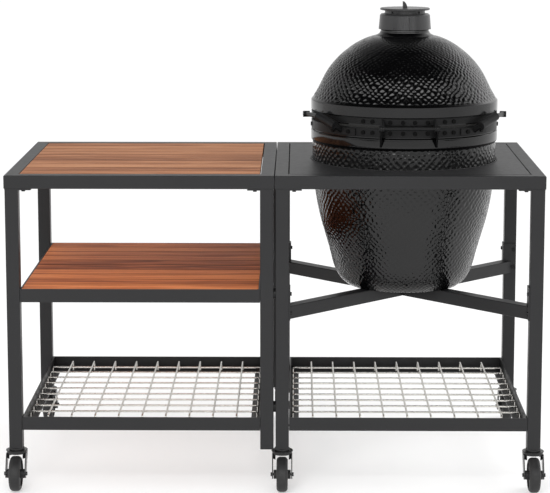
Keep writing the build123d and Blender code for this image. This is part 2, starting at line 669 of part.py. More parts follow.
def caster_fork():
    """Pressed fork with a rolled flange, an arched crown and two cheeks, and the axle bolt through them."""
    outer = FORK_WIDTH / 2
    top = RACE_BOTTOM - SWIVEL_GAP
    hood = disc(outer, FORK_CROWN - FORK_EYE_R, top) - disc(outer - FORK_SHEET, 0, FORK_CROWN)
    flange = disc(FORK_FLANGE_R, top - FORK_SHEET, top)
    flange = fillet(flange.edges().filter_by(GeomType.CIRCLE), FORK_FLANGE_ROUND)
    arch_half = WHEEL_WIDTH / 2 + ARCH_GAP
    arch = block((-arch_half, arch_half), (-WHEEL_R, WHEEL_R), (0, FORK_CROWN))
    body = hood - arch + flange
    eye = Pos(-CASTER_TRAIL, WHEEL_R) * Circle(FORK_EYE_R)
    brow = Pos(0, FORK_CROWN) * Rectangle(FORK_BROW, FORK_SHEET)
    outline = make_hull(eye.edges() + brow.edges())
    for inner in (-outer, outer - FORK_SHEET):
        plane = Plane(origin=(inner, 0, 0), x_dir=(0, 1, 0), z_dir=(1, 0, 0))
        body = body + extrude(plane * outline, FORK_SHEET)
    body = body - disc(KING_PIN_R + RUNNING_CLEAR, 0, CASTER_HEIGHT)
    axle_line = ((-FORK_WIDTH, -CASTER_TRAIL, WHEEL_R), (FORK_WIDTH, -CASTER_TRAIL, WHEEL_R))
    body = body - rod(*axle_line, AXLE_R + RUNNING_CLEAR)
    axle = bolt((-outer, -CASTER_TRAIL, WHEEL_R), (1, 0, 0), FORK_WIDTH, AXLE_R)
    nut = rod((outer, -CASTER_TRAIL, WHEEL_R), (outer + BOLT_HEAD, -CASTER_TRAIL, WHEEL_R), BOLT_HEAD_R)
    return [body, axle + nut]


def caster_wheel():
    """Hub with a boss that runs on the axle, and the rounded tyre moulded round it."""
    rim = WHEEL_R - TYRE_THICK
    boss = FORK_WIDTH / 2 - FORK_SHEET - HUB_GAP
    half = WHEEL_WIDTH / 2
    centre = (0, -CASTER_TRAIL, WHEEL_R)

    def across(radius, reach):
        return rod((-reach, *centre[1:]), (reach, *centre[1:]), radius)

    hub = across(rim, HUB_HALF) + across(FORK_EYE_R, boss) - across(AXLE_R + RUNNING_CLEAR, FORK_WIDTH)
    tyre = across(WHEEL_R, half)
    tyre = fillet(tyre.edges().filter_by(GeomType.CIRCLE), TYRE_ROUND)
    return [hub, tyre - across(rim + RUNNING_CLEAR, WHEEL_WIDTH)]


# Egg grill, about its own upright axis

RIM_TOP = SEAM - GASKET_GAP / 2 - GASKET
DOME_FOOT = SEAM + GASKET_GAP / 2 + GASKET
CAVITY_R = BODY_R - CERAMIC_WALL
GASKET_R = (STRAP_SEAT_R - SEAT_GAP, CAVITY_R + SEAT_GAP)
FLOOR_TOP = FOOT_LEVEL + FLOOR_THICK
FLOOR_R = FOOT_R - FLOOR_THICK / 2
STRAP_R = STRAP_SEAT_R + STRAP_GAP + STRAP_THICK
PLATE_R = STRAP_R + STRAP_GAP      # inner face of the plates bolted on a strap
PLATE_OUT = PLATE_R + HINGE_PLATE
COLLAR_Z = (DRAFT_BOTTOM - COLLAR_EDGE, DRAFT_TOP + COLLAR_EDGE)
DRAFT_X = (-DRAFT_WIDTH / 2, DRAFT_WIDTH / 2)
COLLAR_X = (DRAFT_X[0] - COLLAR_BORDER, DRAFT_X[1] + COLLAR_BORDER)


def base():
    """Ceramic base with a thick lip, a seat for the lower strap and a flat collar round the draft opening."""
    wall = Spline(rz(FOOT_R, FOOT_LEVEL), *[rz(*p) for p in BASE_CURVE], rz(BODY_R, DECK_LEVEL))
    half = LIP_EDGE / 2
    rest = Polyline(
        rz(BODY_R, DECK_LEVEL), rz(BODY_R, BASE_LIP_BOTTOM - half), rz(LIP_R, BASE_LIP_BOTTOM + half),
        rz(LIP_R, BASE_LIP_TOP - half), rz(STRAP_SEAT_R, BASE_LIP_TOP), rz(STRAP_SEAT_R, RIM_TOP),
        rz(0, RIM_TOP), rz(0, FOOT_LEVEL), rz(FOOT_R, FOOT_LEVEL))
    collar = block(COLLAR_X, (FLOOR_R, COLLAR_FACE), COLLAR_Z)
    window = block(DRAFT_X, (FLOOR_R / 2, COLLAR_FACE + CUT), (DRAFT_BOTTOM, DRAFT_TOP))
    return turned(*wall.edges(), *rest.edges()) + collar - cavity() - window


def cavity():
    """Space inside the base."""
    points = [rz(r - CERAMIC_WALL, z) for r, z in BASE_CURVE[1:]]
    wall = Spline(rz(FLOOR_R, FLOOR_TOP), *points, rz(CAVITY_R, DECK_LEVEL))
    top = SEAM + CERAMIC_WALL
    rest = Polyline(
        rz(CAVITY_R, DECK_LEVEL), rz(CAVITY_R, top), rz(0, top), rz(0, FLOOR_TOP), rz(FLOOR_R, FLOOR_TOP))
    return turned(*wall.edges(), *rest.edges())


def firebox():
    """Ceramic firebox with a ledge for the charcoal grate, an ash hole and an air window to the draft."""
    inset = CERAMIC_WALL + FIREBOX_GAP
    points = [(r - inset, z) for r, z in BASE_CURVE[1:]]
    top_r = points[-1][0]
    foot_r = FLOOR_R - FIREBOX_GAP
    ledge_r = GRATE_R + SEAT_GAP
    grate_top = GRATE_LEVEL + GRATE_THICK
    outer = Spline(rz(foot_r, FLOOR_TOP), rz(*points[0]), rz(*points[1]), rz(top_r, FIREBOX_TOP))
    inner_top = rz(top_r - FIREBOX_WALL, FIREBOX_TOP)
    inner_middle = rz(points[1][0] - FIREBOX_WALL, points[1][1])
    inner = Spline(inner_top, inner_middle, rz(ledge_r, grate_top))
    floor_top = FLOOR_TOP + FIREBOX_FLOOR
    hollow_r = GRATE_R - PLATE_RIM
    ash_r = GRATE_R / 2
    steps = Polyline(
        rz(ledge_r, grate_top), rz(ledge_r, GRATE_LEVEL), rz(hollow_r, GRATE_LEVEL), rz(hollow_r, floor_top),
        rz(ash_r, floor_top), rz(ash_r, FLOOR_TOP), rz(foot_r, FLOOR_TOP))
    lid = Line(rz(top_r, FIREBOX_TOP), inner_top)
    window = block(DRAFT_X, (ash_r, LIP_R), (DRAFT_BOTTOM, GRATE_LEVEL - SEAT_GAP))
    return turned(*outer.edges(), lid, *inner.edges(), *steps.edges()) - window


def fire_ring():
    """Ceramic ring that stands on the firebox and carries the cooking grid."""
    low = BASE_CURVE[-1][0] - CERAMIC_WALL - FIREBOX_GAP
    high = CAVITY_R - FIREBOX_GAP
    outline = Polyline(
        rz(low - FIREBOX_WALL, FIREBOX_TOP), rz(low, FIREBOX_TOP), rz(high, DECK_LEVEL),
        rz(high, RING_TOP), rz(high - FIREBOX_WALL, RING_TOP), rz(high - FIREBOX_WALL, DECK_LEVEL),
        close=True)
    return turned(*outline.edges())


def slotted_plate(radius, bottom, thick):
    """Round cast plate with parallel slots inside a solid rim and along a middle rib."""
    plate = disc(radius, bottom, bottom + thick)
    inside = radius - PLATE_RIM
    count = int((inside - SLOT_WIDTH) / SLOT_STEP)
    through = (bottom - CUT, bottom + thick + CUT)
    for i in range(-count, count + 1):
        y = i * SLOT_STEP
        edge = abs(y) + SLOT_WIDTH / 2
        reach = math.sqrt(inside ** 2 - edge ** 2)
        if reach > 2 * PLATE_RIM:
            for x in ((-reach, -PLATE_RIM / 2), (PLATE_RIM / 2, reach)):
                plate = plate - block(x, (y - SLOT_WIDTH / 2, y + SLOT_WIDTH / 2), through)
    return plate


def dome_wall():
    """Outer line of the dome from its lip to its neck."""
    start = rz(LIP_R - LIP_EDGE, DOME_LIP_TOP)
    return Spline(start, *[rz(*p) for p in DOME_CURVE], rz(NECK_R, NECK_FOOT))


def dome_place(height):
    """Radius of the dome at a height, and its outward slope there as a radial and an upright part."""
    wall = dome_wall()
    low, high = 0.0, 1.0
    for _ in range(40):
        middle = (low + high) / 2
        if (wall @ middle).Z < height:
            low = middle
        else:
            high = middle
    tangent = wall % low
    return (wall @ low).X, tangent.Z, -tangent.X


def dome():
    """Ceramic dome with a thick lip, a strap seat, a chimney neck and a hole for the thermometer."""
    wall = dome_wall()
    rest = Polyline(
        rz(NECK_R, NECK_FOOT), rz(NECK_R, NECK_TOP), rz(0, NECK_TOP), rz(0, DOME_FOOT),
        rz(STRAP_SEAT_R, DOME_FOOT), rz(STRAP_SEAT_R, DOME_LIP_BOTTOM),
        rz(LIP_R, DOME_LIP_BOTTOM + LIP_EDGE / 2), rz(LIP_R, DOME_LIP_TOP - LIP_EDGE),
        rz(LIP_R - LIP_EDGE, DOME_LIP_TOP))
    inside = []
    for _, height in DOME_CURVE:
        r, out, up = dome_place(height)
        inside.append(rz(r - out * CERAMIC_WALL, height - up * CERAMIC_WALL))
    flue_r = NECK_R - NECK_WALL
    flue_foot = NECK_FOOT - CERAMIC_WALL
    hollow = Spline(rz(CAVITY_R, DOME_LIP_BOTTOM), *inside, rz(flue_r, flue_foot))
    hollow_rest = Polyline(
        rz(flue_r, flue_foot), rz(flue_r, NECK_TOP + CUT), rz(0, NECK_TOP + CUT), rz(0, DOME_FOOT - CUT),
        rz(CAVITY_R, DOME_FOOT - CUT), rz(CAVITY_R, DOME_LIP_BOTTOM))
    shell = turned(*wall.edges(), *rest.edges()) - turned(*hollow.edges(), *hollow_rest.edges())
    stem = Cylinder(DIAL_STEM_R + DIAL_STEM_GAP, 2 * DIAL_STEM)
    return shell - dial_frame() * stem


def strap(bottom, top):
    """Steel band with a split and two clamp ears opposite the hinge."""
    band = ring(STRAP_R, STRAP_SEAT_R + STRAP_GAP, bottom, top)
    half = STRAP_SPLIT / 2
    band = band - block((-half, half), (0, LIP_R + STRAP_EAR), (bottom, top))
    for side in (-1, 1):
        ear_x = sorted((side * half, side * (half + STRAP_THICK)))
        ear = block(ear_x, (STRAP_SEAT_R, STRAP_R + STRAP_EAR), (bottom, top))
        band = band + (ear - disc(STRAP_SEAT_R + STRAP_GAP, bottom, top))
    return band - clamp_hole(bottom, top)


def clamp_seat(bottom, top):
    """Seat of the bolt that draws a strap's ears together, and its shank length."""
    out = STRAP_SPLIT / 2 + STRAP_THICK
    return (-out, STRAP_R + STRAP_EAR / 2, (bottom + top) / 2), 2 * out


def clamp_hole(bottom, top):
    """Hole through a strap's two ears."""
    (x, y, z), length = clamp_seat(bottom, top)
    return rod((x - CUT, y, z), (x + length + CUT, y, z), BAND_BOLT_R + BOLT_CLEAR)


def clamp_bolt(bottom, top):
    """Bolt and nut through a strap's two ears."""
    (x, y, z), length = clamp_seat(bottom, top)
    nut = rod((x + length, y, z), (x + length + BAND_BOLT_HEAD, y, z), BAND_BOLT_HEAD_R)
    return bolt((x, y, z), (1, 0, 0), length, BAND_BOLT_R, BAND_BOLT_HEAD_R, BAND_BOLT_HEAD) + nut


def band_bolt(azimuth, height, seat_r):
    """Bolt whose head sits on a plate or strap and whose shank ends in the strap's inner face."""
    way = Vector(*around(azimuth, -1, 0))
    length = seat_r - STRAP_SEAT_R - STRAP_GAP
    return bolt(around(azimuth, seat_r, height), way, length, BAND_BOLT_R, BAND_BOLT_HEAD_R, BAND_BOLT_HEAD)


def band_holes(places):
    """Holes for band bolts at a list of azimuths and heights."""
    radius = BAND_BOLT_R + BOLT_CLEAR
    return [rod(around(a, CAVITY_R, z), around(a, BRACKET_R, z), radius) for a, z in places]


LOWER_MIDDLE = (LOWER_STRAP[0] + LOWER_STRAP[1]) / 2
UPPER_MIDDLE = (UPPER_STRAP[0] + UPPER_STRAP[1]) / 2
HANDLE_ARM_X = HANDLE_GRIP_LENGTH / 2 + HANDLE_ARM_THICK / 2
HANDLE_AZIMUTH = 180 - math.degrees(math.asin(HANDLE_ARM_X / PLATE_OUT))


def lower_bolt_places():
    """Azimuth, height and seat radius of each bolt on the lower strap."""
    plate = [(a, LOWER_MIDDLE, PLATE_OUT) for a in HINGE_BOLT_AZIMUTHS + BRACKET_BOLT_AZIMUTHS]
    return plate + [(a, LOWER_MIDDLE, STRAP_R) for a in SIDE_BOLT_AZIMUTHS + END_BOLT_AZIMUTHS]


def upper_bolt_places():
    """Azimuth, height and seat radius of each bolt on the upper strap."""
    plate = [(a, UPPER_MIDDLE, PLATE_OUT) for a in HINGE_BOLT_AZIMUTHS]
    return plate + [(a, UPPER_MIDDLE, STRAP_R) for a in SIDE_BOLT_AZIMUTHS]


def hinge_ear(middle, eye_r, bottom, top):
    """Upright ear from a hinge plate out to the pin, drilled for it."""
    eye = Pos(-HINGE_OUT, SEAM) * Circle(eye_r)
    foot_y = -math.sqrt(PLATE_R ** 2 - HINGE_EAR_AT ** 2)
    foot = Pos(foot_y, (bottom + top) / 2) * Rectangle(2 * HINGE_PLATE, top - bottom)
    plane = Plane(origin=(middle - HINGE_EAR_THICK / 2, 0, 0), x_dir=(0, 1, 0), z_dir=(1, 0, 0))
    ear = extrude(plane * make_hull(eye.edges() + foot.edges()), HINGE_EAR_THICK)
    pin = ((-HINGE_OUT, -HINGE_OUT, SEAM), (HINGE_OUT, -HINGE_OUT, SEAM))
    return ear - rod(*pin, HINGE_PIN_R + RUNNING_CLEAR)


def hinge_bracket(middle, eye_r, bottom, strap_at, clear_r):
    """Curved plate over a strap with an ear at each end, which may reach lower than the plate."""
    low, top = strap_at
    half = math.degrees(math.asin(middle / PLATE_OUT))
    plate = ring(PLATE_OUT, PLATE_R, low, top) & wedge(-half, half, CUT_REACH, low, top)
    ears = hinge_ear(middle, eye_r, bottom, top) + hinge_ear(-middle, eye_r, bottom, top)
    return plate + (ears - disc(clear_r, bottom - LIP_R, top + LIP_R))


def hinge_pin():
    """Pin along X with a head at each end."""
    out = HINGE_EAR_AT + HINGE_EAR_THICK / 2
    ends = [(s * out, -HINGE_OUT, SEAM) for s in (-1, 1)]
    pin = rod(*ends, HINGE_PIN_R)
    for side, (x, y, z) in zip((-1, 1), ends):
        pin = pin + rod((x, y, z), (x + side * BAND_BOLT_HEAD, y, z), HINGE_PIN_HEAD_R)
    return pin


def side_bracket(side):
    """Welded bracket on the lower strap: plate, stub, slanting tube, arm and capped end."""
    low, high = BRACKET_PLATE_Z
    plate = ring(PLATE_OUT, PLATE_R, low, high) & wedge(*BRACKET_PLATE_TURN, CUT_REACH, low, high)
    start = around(BRACKET_START_TURN, BRACKET_R, SEAM + BRACKET_START_RISE)
    end = around(BRACKET_END_TURN, BRACKET_R, SEAM + BRACKET_END_RISE)
    arm_height = SEAM + BRACKET_ARM_RISE
    tip = around(BRACKET_ARM_TURN, BRACKET_R - BRACKET_ARM_R, arm_height)
    root = around(BRACKET_START_TURN, PLATE_R, LOWER_MIDDLE)
    stub = rod(root, start, BRACKET_STUB_R) - disc(PLATE_R, low - LIP_R, high + LIP_R)
    cap_in = around(BRACKET_ARM_TURN, LIP_R + BEAD_BAND_THICK + HINGE_PLATE, arm_height)
    cap_out = around(BRACKET_ARM_TURN, BRACKET_CAP_OUT, arm_height)
    body = plate + stub + rod(start, end, BRACKET_TUBE_R) + rod(end, tip, BRACKET_ARM_R)
    body = body + rod(cap_in, cap_out, BRACKET_CAP_R)
    body = drilled(body, band_holes([(a, z) for a, z, _ in lower_bolt_places()]))
    return body if side > 0 else mirror(body, Plane.YZ)


# Chimney cap, vent, handle and thermometer of the lid

def sectors(inner, outer, bottom, top, count, angle, first):
    """Ring sectors spread evenly about the axis."""
    whole = ring(outer, inner, bottom, top)
    step = 360 / count
    middles = [first + i * step for i in range(count)]
    return [whole & wedge(m - angle / 2, m + angle / 2, CUT_REACH, bottom, top) for m in middles]


def chimney_cap():
    """Cast cap over the chimney neck with a spoked top, a fixed ported collar and an upright rib."""
    neck = NECK_R + CAP_FIT
    seat = NECK_R - NECK_WALL
    shoulder = CAP_R - CAP_TAPER
    outline = Polyline(
        rz(neck, CAP_FOOT), rz(CAP_R, CAP_FOOT), rz(shoulder, CAP_TOP - CAP_CHAMFER),
        rz(shoulder - CAP_CHAMFER, CAP_TOP), rz(0, CAP_TOP), rz(0, CAP_TOP - CAP_PLATE),
        rz(seat, CAP_TOP - CAP_PLATE), rz(seat, NECK_TOP), rz(neck, NECK_TOP), close=True)
    cap = turned(*outline.edges())
    fixed_r = VENT_COLLAR_R - VENT_COLLAR_WALL - VENT_GAP
    flue_r = fixed_r - VENT_COLLAR_WALL
    through = (CAP_TOP - CAP_PLATE - CUT, CAP_TOP + CUT)
    openings = ring(flue_r, VENT_HUB_R, *through)
    for turn in (0, 90):
        spoke = block((-flue_r, flue_r), (-VENT_SPOKE / 2, VENT_SPOKE / 2), (CAP_FOOT, CAP_TOP + 2 * CUT))
        openings = openings - Rot(0, 0, turn) * spoke
    cap = cap - openings + ring(fixed_r, flue_r, CAP_TOP, VENT_DISC_BOTTOM - VENT_GAP)
    ports = vent_ports(flue_r - CUT, fixed_r + CUT, 0)
    rib_y = (-CAP_R - CAP_RIB / 4, -shoulder + CAP_RIB / 4)
    rib = block((-CAP_RIB / 2, CAP_RIB / 2), rib_y, (CAP_FOOT, CAP_TOP - 2 * CAP_CHAMFER))
    pin_hole = disc(VENT_PIN_R + RUNNING_CLEAR, CAP_FOOT, CAP_TOP + CUT)
    return drilled(cap + Rot(0, 0, CAP_RIB_AZIMUTH) * rib, ports) - pin_hole


def vent_ports(inner, outer, first):
    """Cutters for the side ports of the two vent collars."""
    low = CAP_TOP + VENT_GAP + VENT_PORT_EDGE
    high = VENT_DISC_BOTTOM - VENT_GAP - VENT_PORT_EDGE
    return sectors(inner, outer, low, high, VENT_PORTS, VENT_PORT_ANGLE, first)


def vent_disc():
    """Turning vent: a ported collar under a rain disc, with a thumb fin on top."""
    inner = VENT_COLLAR_R - VENT_COLLAR_WALL
    foot = CAP_TOP + VENT_GAP
    top = VENT_DISC_BOTTOM + VENT_DISC_THICK
    collar = ring(VENT_COLLAR_R, inner, foot, VENT_DISC_BOTTOM)
    collar = drilled(collar, vent_ports(inner - VENT_GAP / 2, VENT_COLLAR_R + CUT, 180 / VENT_PORTS))
    plate = disc(VENT_DISC_R, VENT_DISC_BOTTOM, top)
    plate = fillet(plate.edges().filter_by(GeomType.CIRCLE), VENT_DISC_ROUND)
    boss = disc(VENT_HUB_R, foot, VENT_DISC_BOTTOM)
    half = FIN_BASE / 2
    back = Line((-half, 0), (-half, FIN_HEIGHT))
    tip = Line((-half, FIN_HEIGHT), (-half + FIN_TIP, FIN_HEIGHT))
    slope = RadiusArc((-half + FIN_TIP, FIN_HEIGHT), (half, 0), FIN_SLOPE_R)
    foot_line = Line((half, 0), (-half, 0))
    plane = Plane(origin=(0, FIN_LENGTH / 2, top), x_dir=(1, 0, 0), z_dir=(0, -1, 0))
    fin = extrude(plane * make_face([back, tip, slope, foot_line]), FIN_LENGTH)
    pin_top = VENT_DISC_BOTTOM + VENT_DISC_THICK / 2
    return collar + plate + boss + fin - disc(VENT_PIN_R + RUNNING_CLEAR, CAP_FOOT, pin_top)


def vent_pivot():
    """Bolt from below the cap's hub up into the vent disc."""
    seat = (0, 0, CAP_TOP - CAP_PLATE - VENT_GAP)
    length = VENT_DISC_BOTTOM + VENT_DISC_THICK / 2 - VENT_GAP - seat[2]
    return bolt(seat, (0, 0, 1), length, VENT_PIN_R)


def lid_handle_frame():
    """Two feet on the upper strap, two arms and the rod between them, welded together."""
    low, high = UPPER_STRAP
    rod_line = ((-HANDLE_ARM_X, HANDLE_OUT, HANDLE_HEIGHT), (HANDLE_ARM_X, HANDLE_OUT, HANDLE_HEIGHT))
    body = rod(*rod_line, HANDLE_ROD_R)
    eye = Pos(HANDLE_OUT, HANDLE_HEIGHT) * Circle(2 * HANDLE_ROD_R)
    foot = Pos(HANDLE_ARM_IN, UPPER_MIDDLE) * Rectangle(HANDLE_ARM_THICK, high - low)
    outline = make_hull(eye.edges() + foot.edges())
    for side in (-1, 1):
        start = side * HANDLE_ARM_X - HANDLE_ARM_THICK / 2
        plane = Plane(origin=(start, 0, 0), x_dir=(0, 1, 0), z_dir=(1, 0, 0))
        arm = extrude(plane * outline, HANDLE_ARM_THICK) - disc(LIP_R + STRAP_GAP, low - LIP_R, high + LIP_R)
        middle = side * HANDLE_AZIMUTH
        sector = wedge(middle - HANDLE_FOOT_ANGLE, middle + HANDLE_FOOT_ANGLE, CUT_REACH, low, high)
        body = body + arm + (ring(PLATE_OUT, PLATE_R, low, high) & sector)
    return body


def lid_handle_grip():
    """Round grip on the handle's rod."""
    half = HANDLE_GRIP_LENGTH / 2 - SEAT_GAP
    ends = ((-half, HANDLE_OUT, HANDLE_HEIGHT), (half, HANDLE_OUT, HANDLE_HEIGHT))
    grip = rod(*ends, HANDLE_GRIP_R)
    grip = fillet(grip.edges().filter_by(GeomType.CIRCLE), HANDLE_GRIP_ROUND)
    return grip - rod((-HANDLE_OUT, *ends[0][1:]), (HANDLE_OUT, *ends[0][1:]), HANDLE_ROD_R + HANDLE_GRIP_FIT)


def dial_frame():
    """Place of the thermometer: its back on the dome, Z outwards."""
    radius, out, up = dome_place(DIAL_HEIGHT)
    origin = (0, radius + out * STRAP_GAP, DIAL_HEIGHT + up * STRAP_GAP)
    return Plane(origin=origin, x_dir=(-1, 0, 0), z_dir=(0, out, up)).location


def thermometer():
    """Case with its stem and needle spindle, the needle, and the glass, in that order."""
    face = DIAL_WALL
    glass_low = DIAL_DEPTH - DIAL_WALL / 2 - DIAL_GLASS
    bore = DIAL_R - DIAL_WALL
    case = disc(DIAL_R, 0, DIAL_DEPTH) - disc(bore - DIAL_WALL, face, DIAL_DEPTH + CUT)
    case = case - disc(bore, glass_low, DIAL_DEPTH + CUT)
    case = case + disc(DIAL_STEM_R, -DIAL_STEM, face / 2) + disc(NEEDLE_R, 0, glass_low - 2 * VENT_GAP)
    glass = disc(bore - STRAP_GAP, glass_low, glass_low + DIAL_GLASS)
    level = (face + glass_low) / 2
    pointer = block((-NEEDLE_R, NEEDLE_R), (-NEEDLE_TAIL, NEEDLE_REACH), (level, level + NEEDLE_THICK))
    needle = disc(NEEDLE_HUB_R, level, level + NEEDLE_THICK) + pointer
    needle = Rot(0, 0, NEEDLE_REST) * (needle - disc(NEEDLE_R + RUNNING_CLEAR, 0, DIAL_DEPTH))
    return [dial_frame() * piece for piece in (case, needle, glass)]


# Draft door on the flat collar of the base

RAIL_LOW = (DRAFT_BOTTOM - DOOR_OVERLAP - TRACK_RAIL, DRAFT_BOTTOM - DOOR_OVERLAP)
RAIL_HIGH = (DRAFT_TOP + DOOR_OVERLAP, DRAFT_TOP + DOOR_OVERLAP + TRACK_RAIL)
TRACK_Y = COLLAR_FACE + TRACK_PLATE
GROOVE_WALL = (TRACK_DEPTH - 2 * TRACK_GROOVE) / 3


def groove(order):
    """Front and back of the inner groove, 0, or the outer groove, 1."""
    start = TRACK_Y + GROOVE_WALL + order * (GROOVE_WALL + TRACK_GROOVE)
    return (start, start + TRACK_GROOVE)


def draft_frame():
    """Plate round the draft opening with a grooved rail above and below."""
    plate = block(COLLAR_X, (COLLAR_FACE, TRACK_Y), (RAIL_LOW[0], RAIL_HIGH[1]))
    plate = plate - block(DRAFT_X, (COLLAR_FACE - CUT, TRACK_Y + CUT), (DRAFT_BOTTOM, DRAFT_TOP))
    depth = (TRACK_Y, TRACK_Y + TRACK_DEPTH)
    frame = plate + block(COLLAR_X, depth, RAIL_LOW) + block(COLLAR_X, depth, RAIL_HIGH)
    long_x = (2 * COLLAR_X[0], 2 * COLLAR_X[1])
    for order in (0, 1):
        frame = frame - block(long_x, groove(order), (RAIL_LOW[1] - TRACK_GROOVE_DEPTH, RAIL_LOW[1] + CUT))
        frame = frame - block(long_x, groove(order), (RAIL_HIGH[0] - CUT, RAIL_HIGH[0] + TRACK_GROOVE_DEPTH))
    return frame


def slide_plate(order):
    """Plate that runs in one of the two grooves."""
    front, back = groove(order)
    play = (back - front - DOOR_THICK) / 2
    low = RAIL_LOW[1] - TRACK_GROOVE_DEPTH + play
    high = RAIL_HIGH[0] + TRACK_GROOVE_DEPTH - play
    wide = (DRAFT_X[0] - DOOR_OVERLAP, DRAFT_X[1] + DOOR_OVERLAP)
    return block(wide, (front + play, back - play), (low, high))


def draft_door():
    """Solid draft door with a knob."""
    plate = slide_plate(1)
    face = groove(1)[1] - (TRACK_GROOVE - DOOR_THICK) / 2
    at = (DRAFT_X[0] + 2 * DOOR_KNOB_R, (DRAFT_BOTTOM + DRAFT_TOP) / 2)
    knob = rod((at[0], face - DOOR_THICK / 2, at[1]), (at[0], face + DOOR_KNOB, at[1]), DOOR_KNOB_R)
    return plate + fillet(knob.edges().filter_by(GeomType.CIRCLE).sort_by(Axis.Y)[-1], DOOR_KNOB_ROUND)


def draft_screen():
    """Screen door with a grid of square holes."""
    plate = slide_plate(0)
    columns = int(DRAFT_WIDTH / MESH_STEP)
    rows = int((DRAFT_TOP - DRAFT_BOTTOM) / MESH_STEP)
    middle = (DRAFT_BOTTOM + DRAFT_TOP) / 2
    holes = []
    for i in range(columns):
        for j in range(rows):
            x = (i - (columns - 1) / 2) * MESH_STEP
            z = middle + (j - (rows - 1) / 2) * MESH_STEP
            holes.append(Pos(x, z) * Rectangle(MESH_HOLE, MESH_HOLE))
    plane = Plane(origin=(0, COLLAR_FACE + TRACK_DEPTH * 2, 0), x_dir=(1, 0, 0), z_dir=(0, -1, 0))
    return plate - extrude(plane * Sketch(children=holes), TRACK_DEPTH * 3)


# Assembly

def caster_places():
    """Name, place and turn of each castor: front wheels trail to the front, rear wheels to the rear."""
    outer = MODULE_X + LEG_AT
    inner = MODULE_X - LEG_AT
    places = []
    for name, x in (("prep", -outer), ("grill_inner", inner), ("grill_outer", outer)):
        places.append((name + "_front", Pos(x, -LEG_AT, 0)))
        places.append((name + "_rear", Pos(x, LEG_AT, 0) * Rot(0, 0, 180)))
    return places


def table_nodes():
    """Nodes of the two tables and what ties them together."""
    prep = Pos(-MODULE_X, 0, 0)
    grill = Pos(MODULE_X, 0, 0)
    frame = top_frame()
    rack_frame = angle_frame(RACK_TOP)
    rack = wire_rack()
    top_slats, top_battens = prep_top()
    shelf_slats, shelf_battens = prep_shelf()
    beam_long, beam_front, beam_rear = cross_beams()
    prep_bolts = flange_bolts() + bolts(frame_bolt_places(RACK_TOP) + frame_bolt_places(SHELF_TOP))
    grill_bolts = flange_bolts() + bolts(frame_bolt_places(RACK_TOP) + saddle_bolt_places())
    nodes = {
        "prep_top_frame": [prep * p for p in frame],
        "prep_legs": [prep * p for p in legs(-1, False, True, (-1,))],
        "prep_top_slats": [prep * p for p in top_slats],
        "prep_battens": [prep * p for p in top_battens + shelf_battens],
        "prep_shelf_frame": [prep * p for p in angle_frame(SHELF_TOP)],
        "prep_shelf_slats": [prep * p for p in shelf_slats],
        "prep_rack_frame": [prep * p for p in rack_frame],
        "prep_wire_rack": [prep * rack],
        "grill_top_frame": [grill * p for p in frame],
        "grill_legs": [grill * p for p in legs(1, True, False, (-1, 1))],
        "grill_deck_plate": [grill * deck_plate()],
        "cross_beam_long": [grill * beam_long],
        "cross_beam_front": [grill * beam_front],
        "cross_beam_rear": [grill * beam_rear],
        "grill_rack_frame": [grill * p for p in rack_frame],
        "grill_wire_rack": [grill * rack],
        "table_bolts": [prep * p for p in prep_bolts] + [grill * p for p in grill_bolts],
        "module_link_studs": link_bolts() + link_spacers(),
    }
    return nodes


def caster_nodes():
    """Nodes of the six castors."""
    fork, axle = caster_fork()
    hub, tyre = caster_wheel()
    stem = caster_stem()
    nodes = {"caster_stems": [place * stem for _, place in caster_places()]}
    for name, place in caster_places():
        nodes["caster_fork_" + name] = [place * fork, place * axle]
        nodes["caster_wheel_" + name] = [place * hub, place * tyre]
    return nodes


def base_nodes():
    """Nodes of the grill that stand still."""
    lower = lower_bolt_places()
    lower_holes = band_holes([(a, z) for a, z, _ in lower])
    lip_clear = LIP_R + STRAP_GAP
    bracket = hinge_bracket(HINGE_EAR_AT, HINGE_EYE_R, HINGE_LOWER_BOTTOM, LOWER_STRAP, lip_clear)
    return {
        "base": [base()],
        "base_gasket": [ring(*GASKET_R, RIM_TOP, RIM_TOP + GASKET)],
        "lower_strap": [drilled(strap(*LOWER_STRAP), lower_holes)],
        "lower_hinge_bracket": [drilled(bracket, lower_holes) - disc(lip_clear, FOOT_LEVEL, BASE_LIP_TOP)],
        "hinge_pin": [hinge_pin()],
        "lower_band_bolts": [band_bolt(*p) for p in lower] + [clamp_bolt(*LOWER_STRAP)],
        "side_brackets": [side_bracket(-1), side_bracket(1)],
        "firebox": [firebox()],
        "fire_ring": [fire_ring()],
        "charcoal_grate": [slotted_plate(GRATE_R, GRATE_LEVEL, GRATE_THICK)],
        "cooking_grid": [slotted_plate(GRID_R, RING_TOP, GRID_THICK)],
        "draft_frame": [draft_frame()],
        "draft_door": [draft_door()],
        "draft_screen": [draft_screen()],
    }


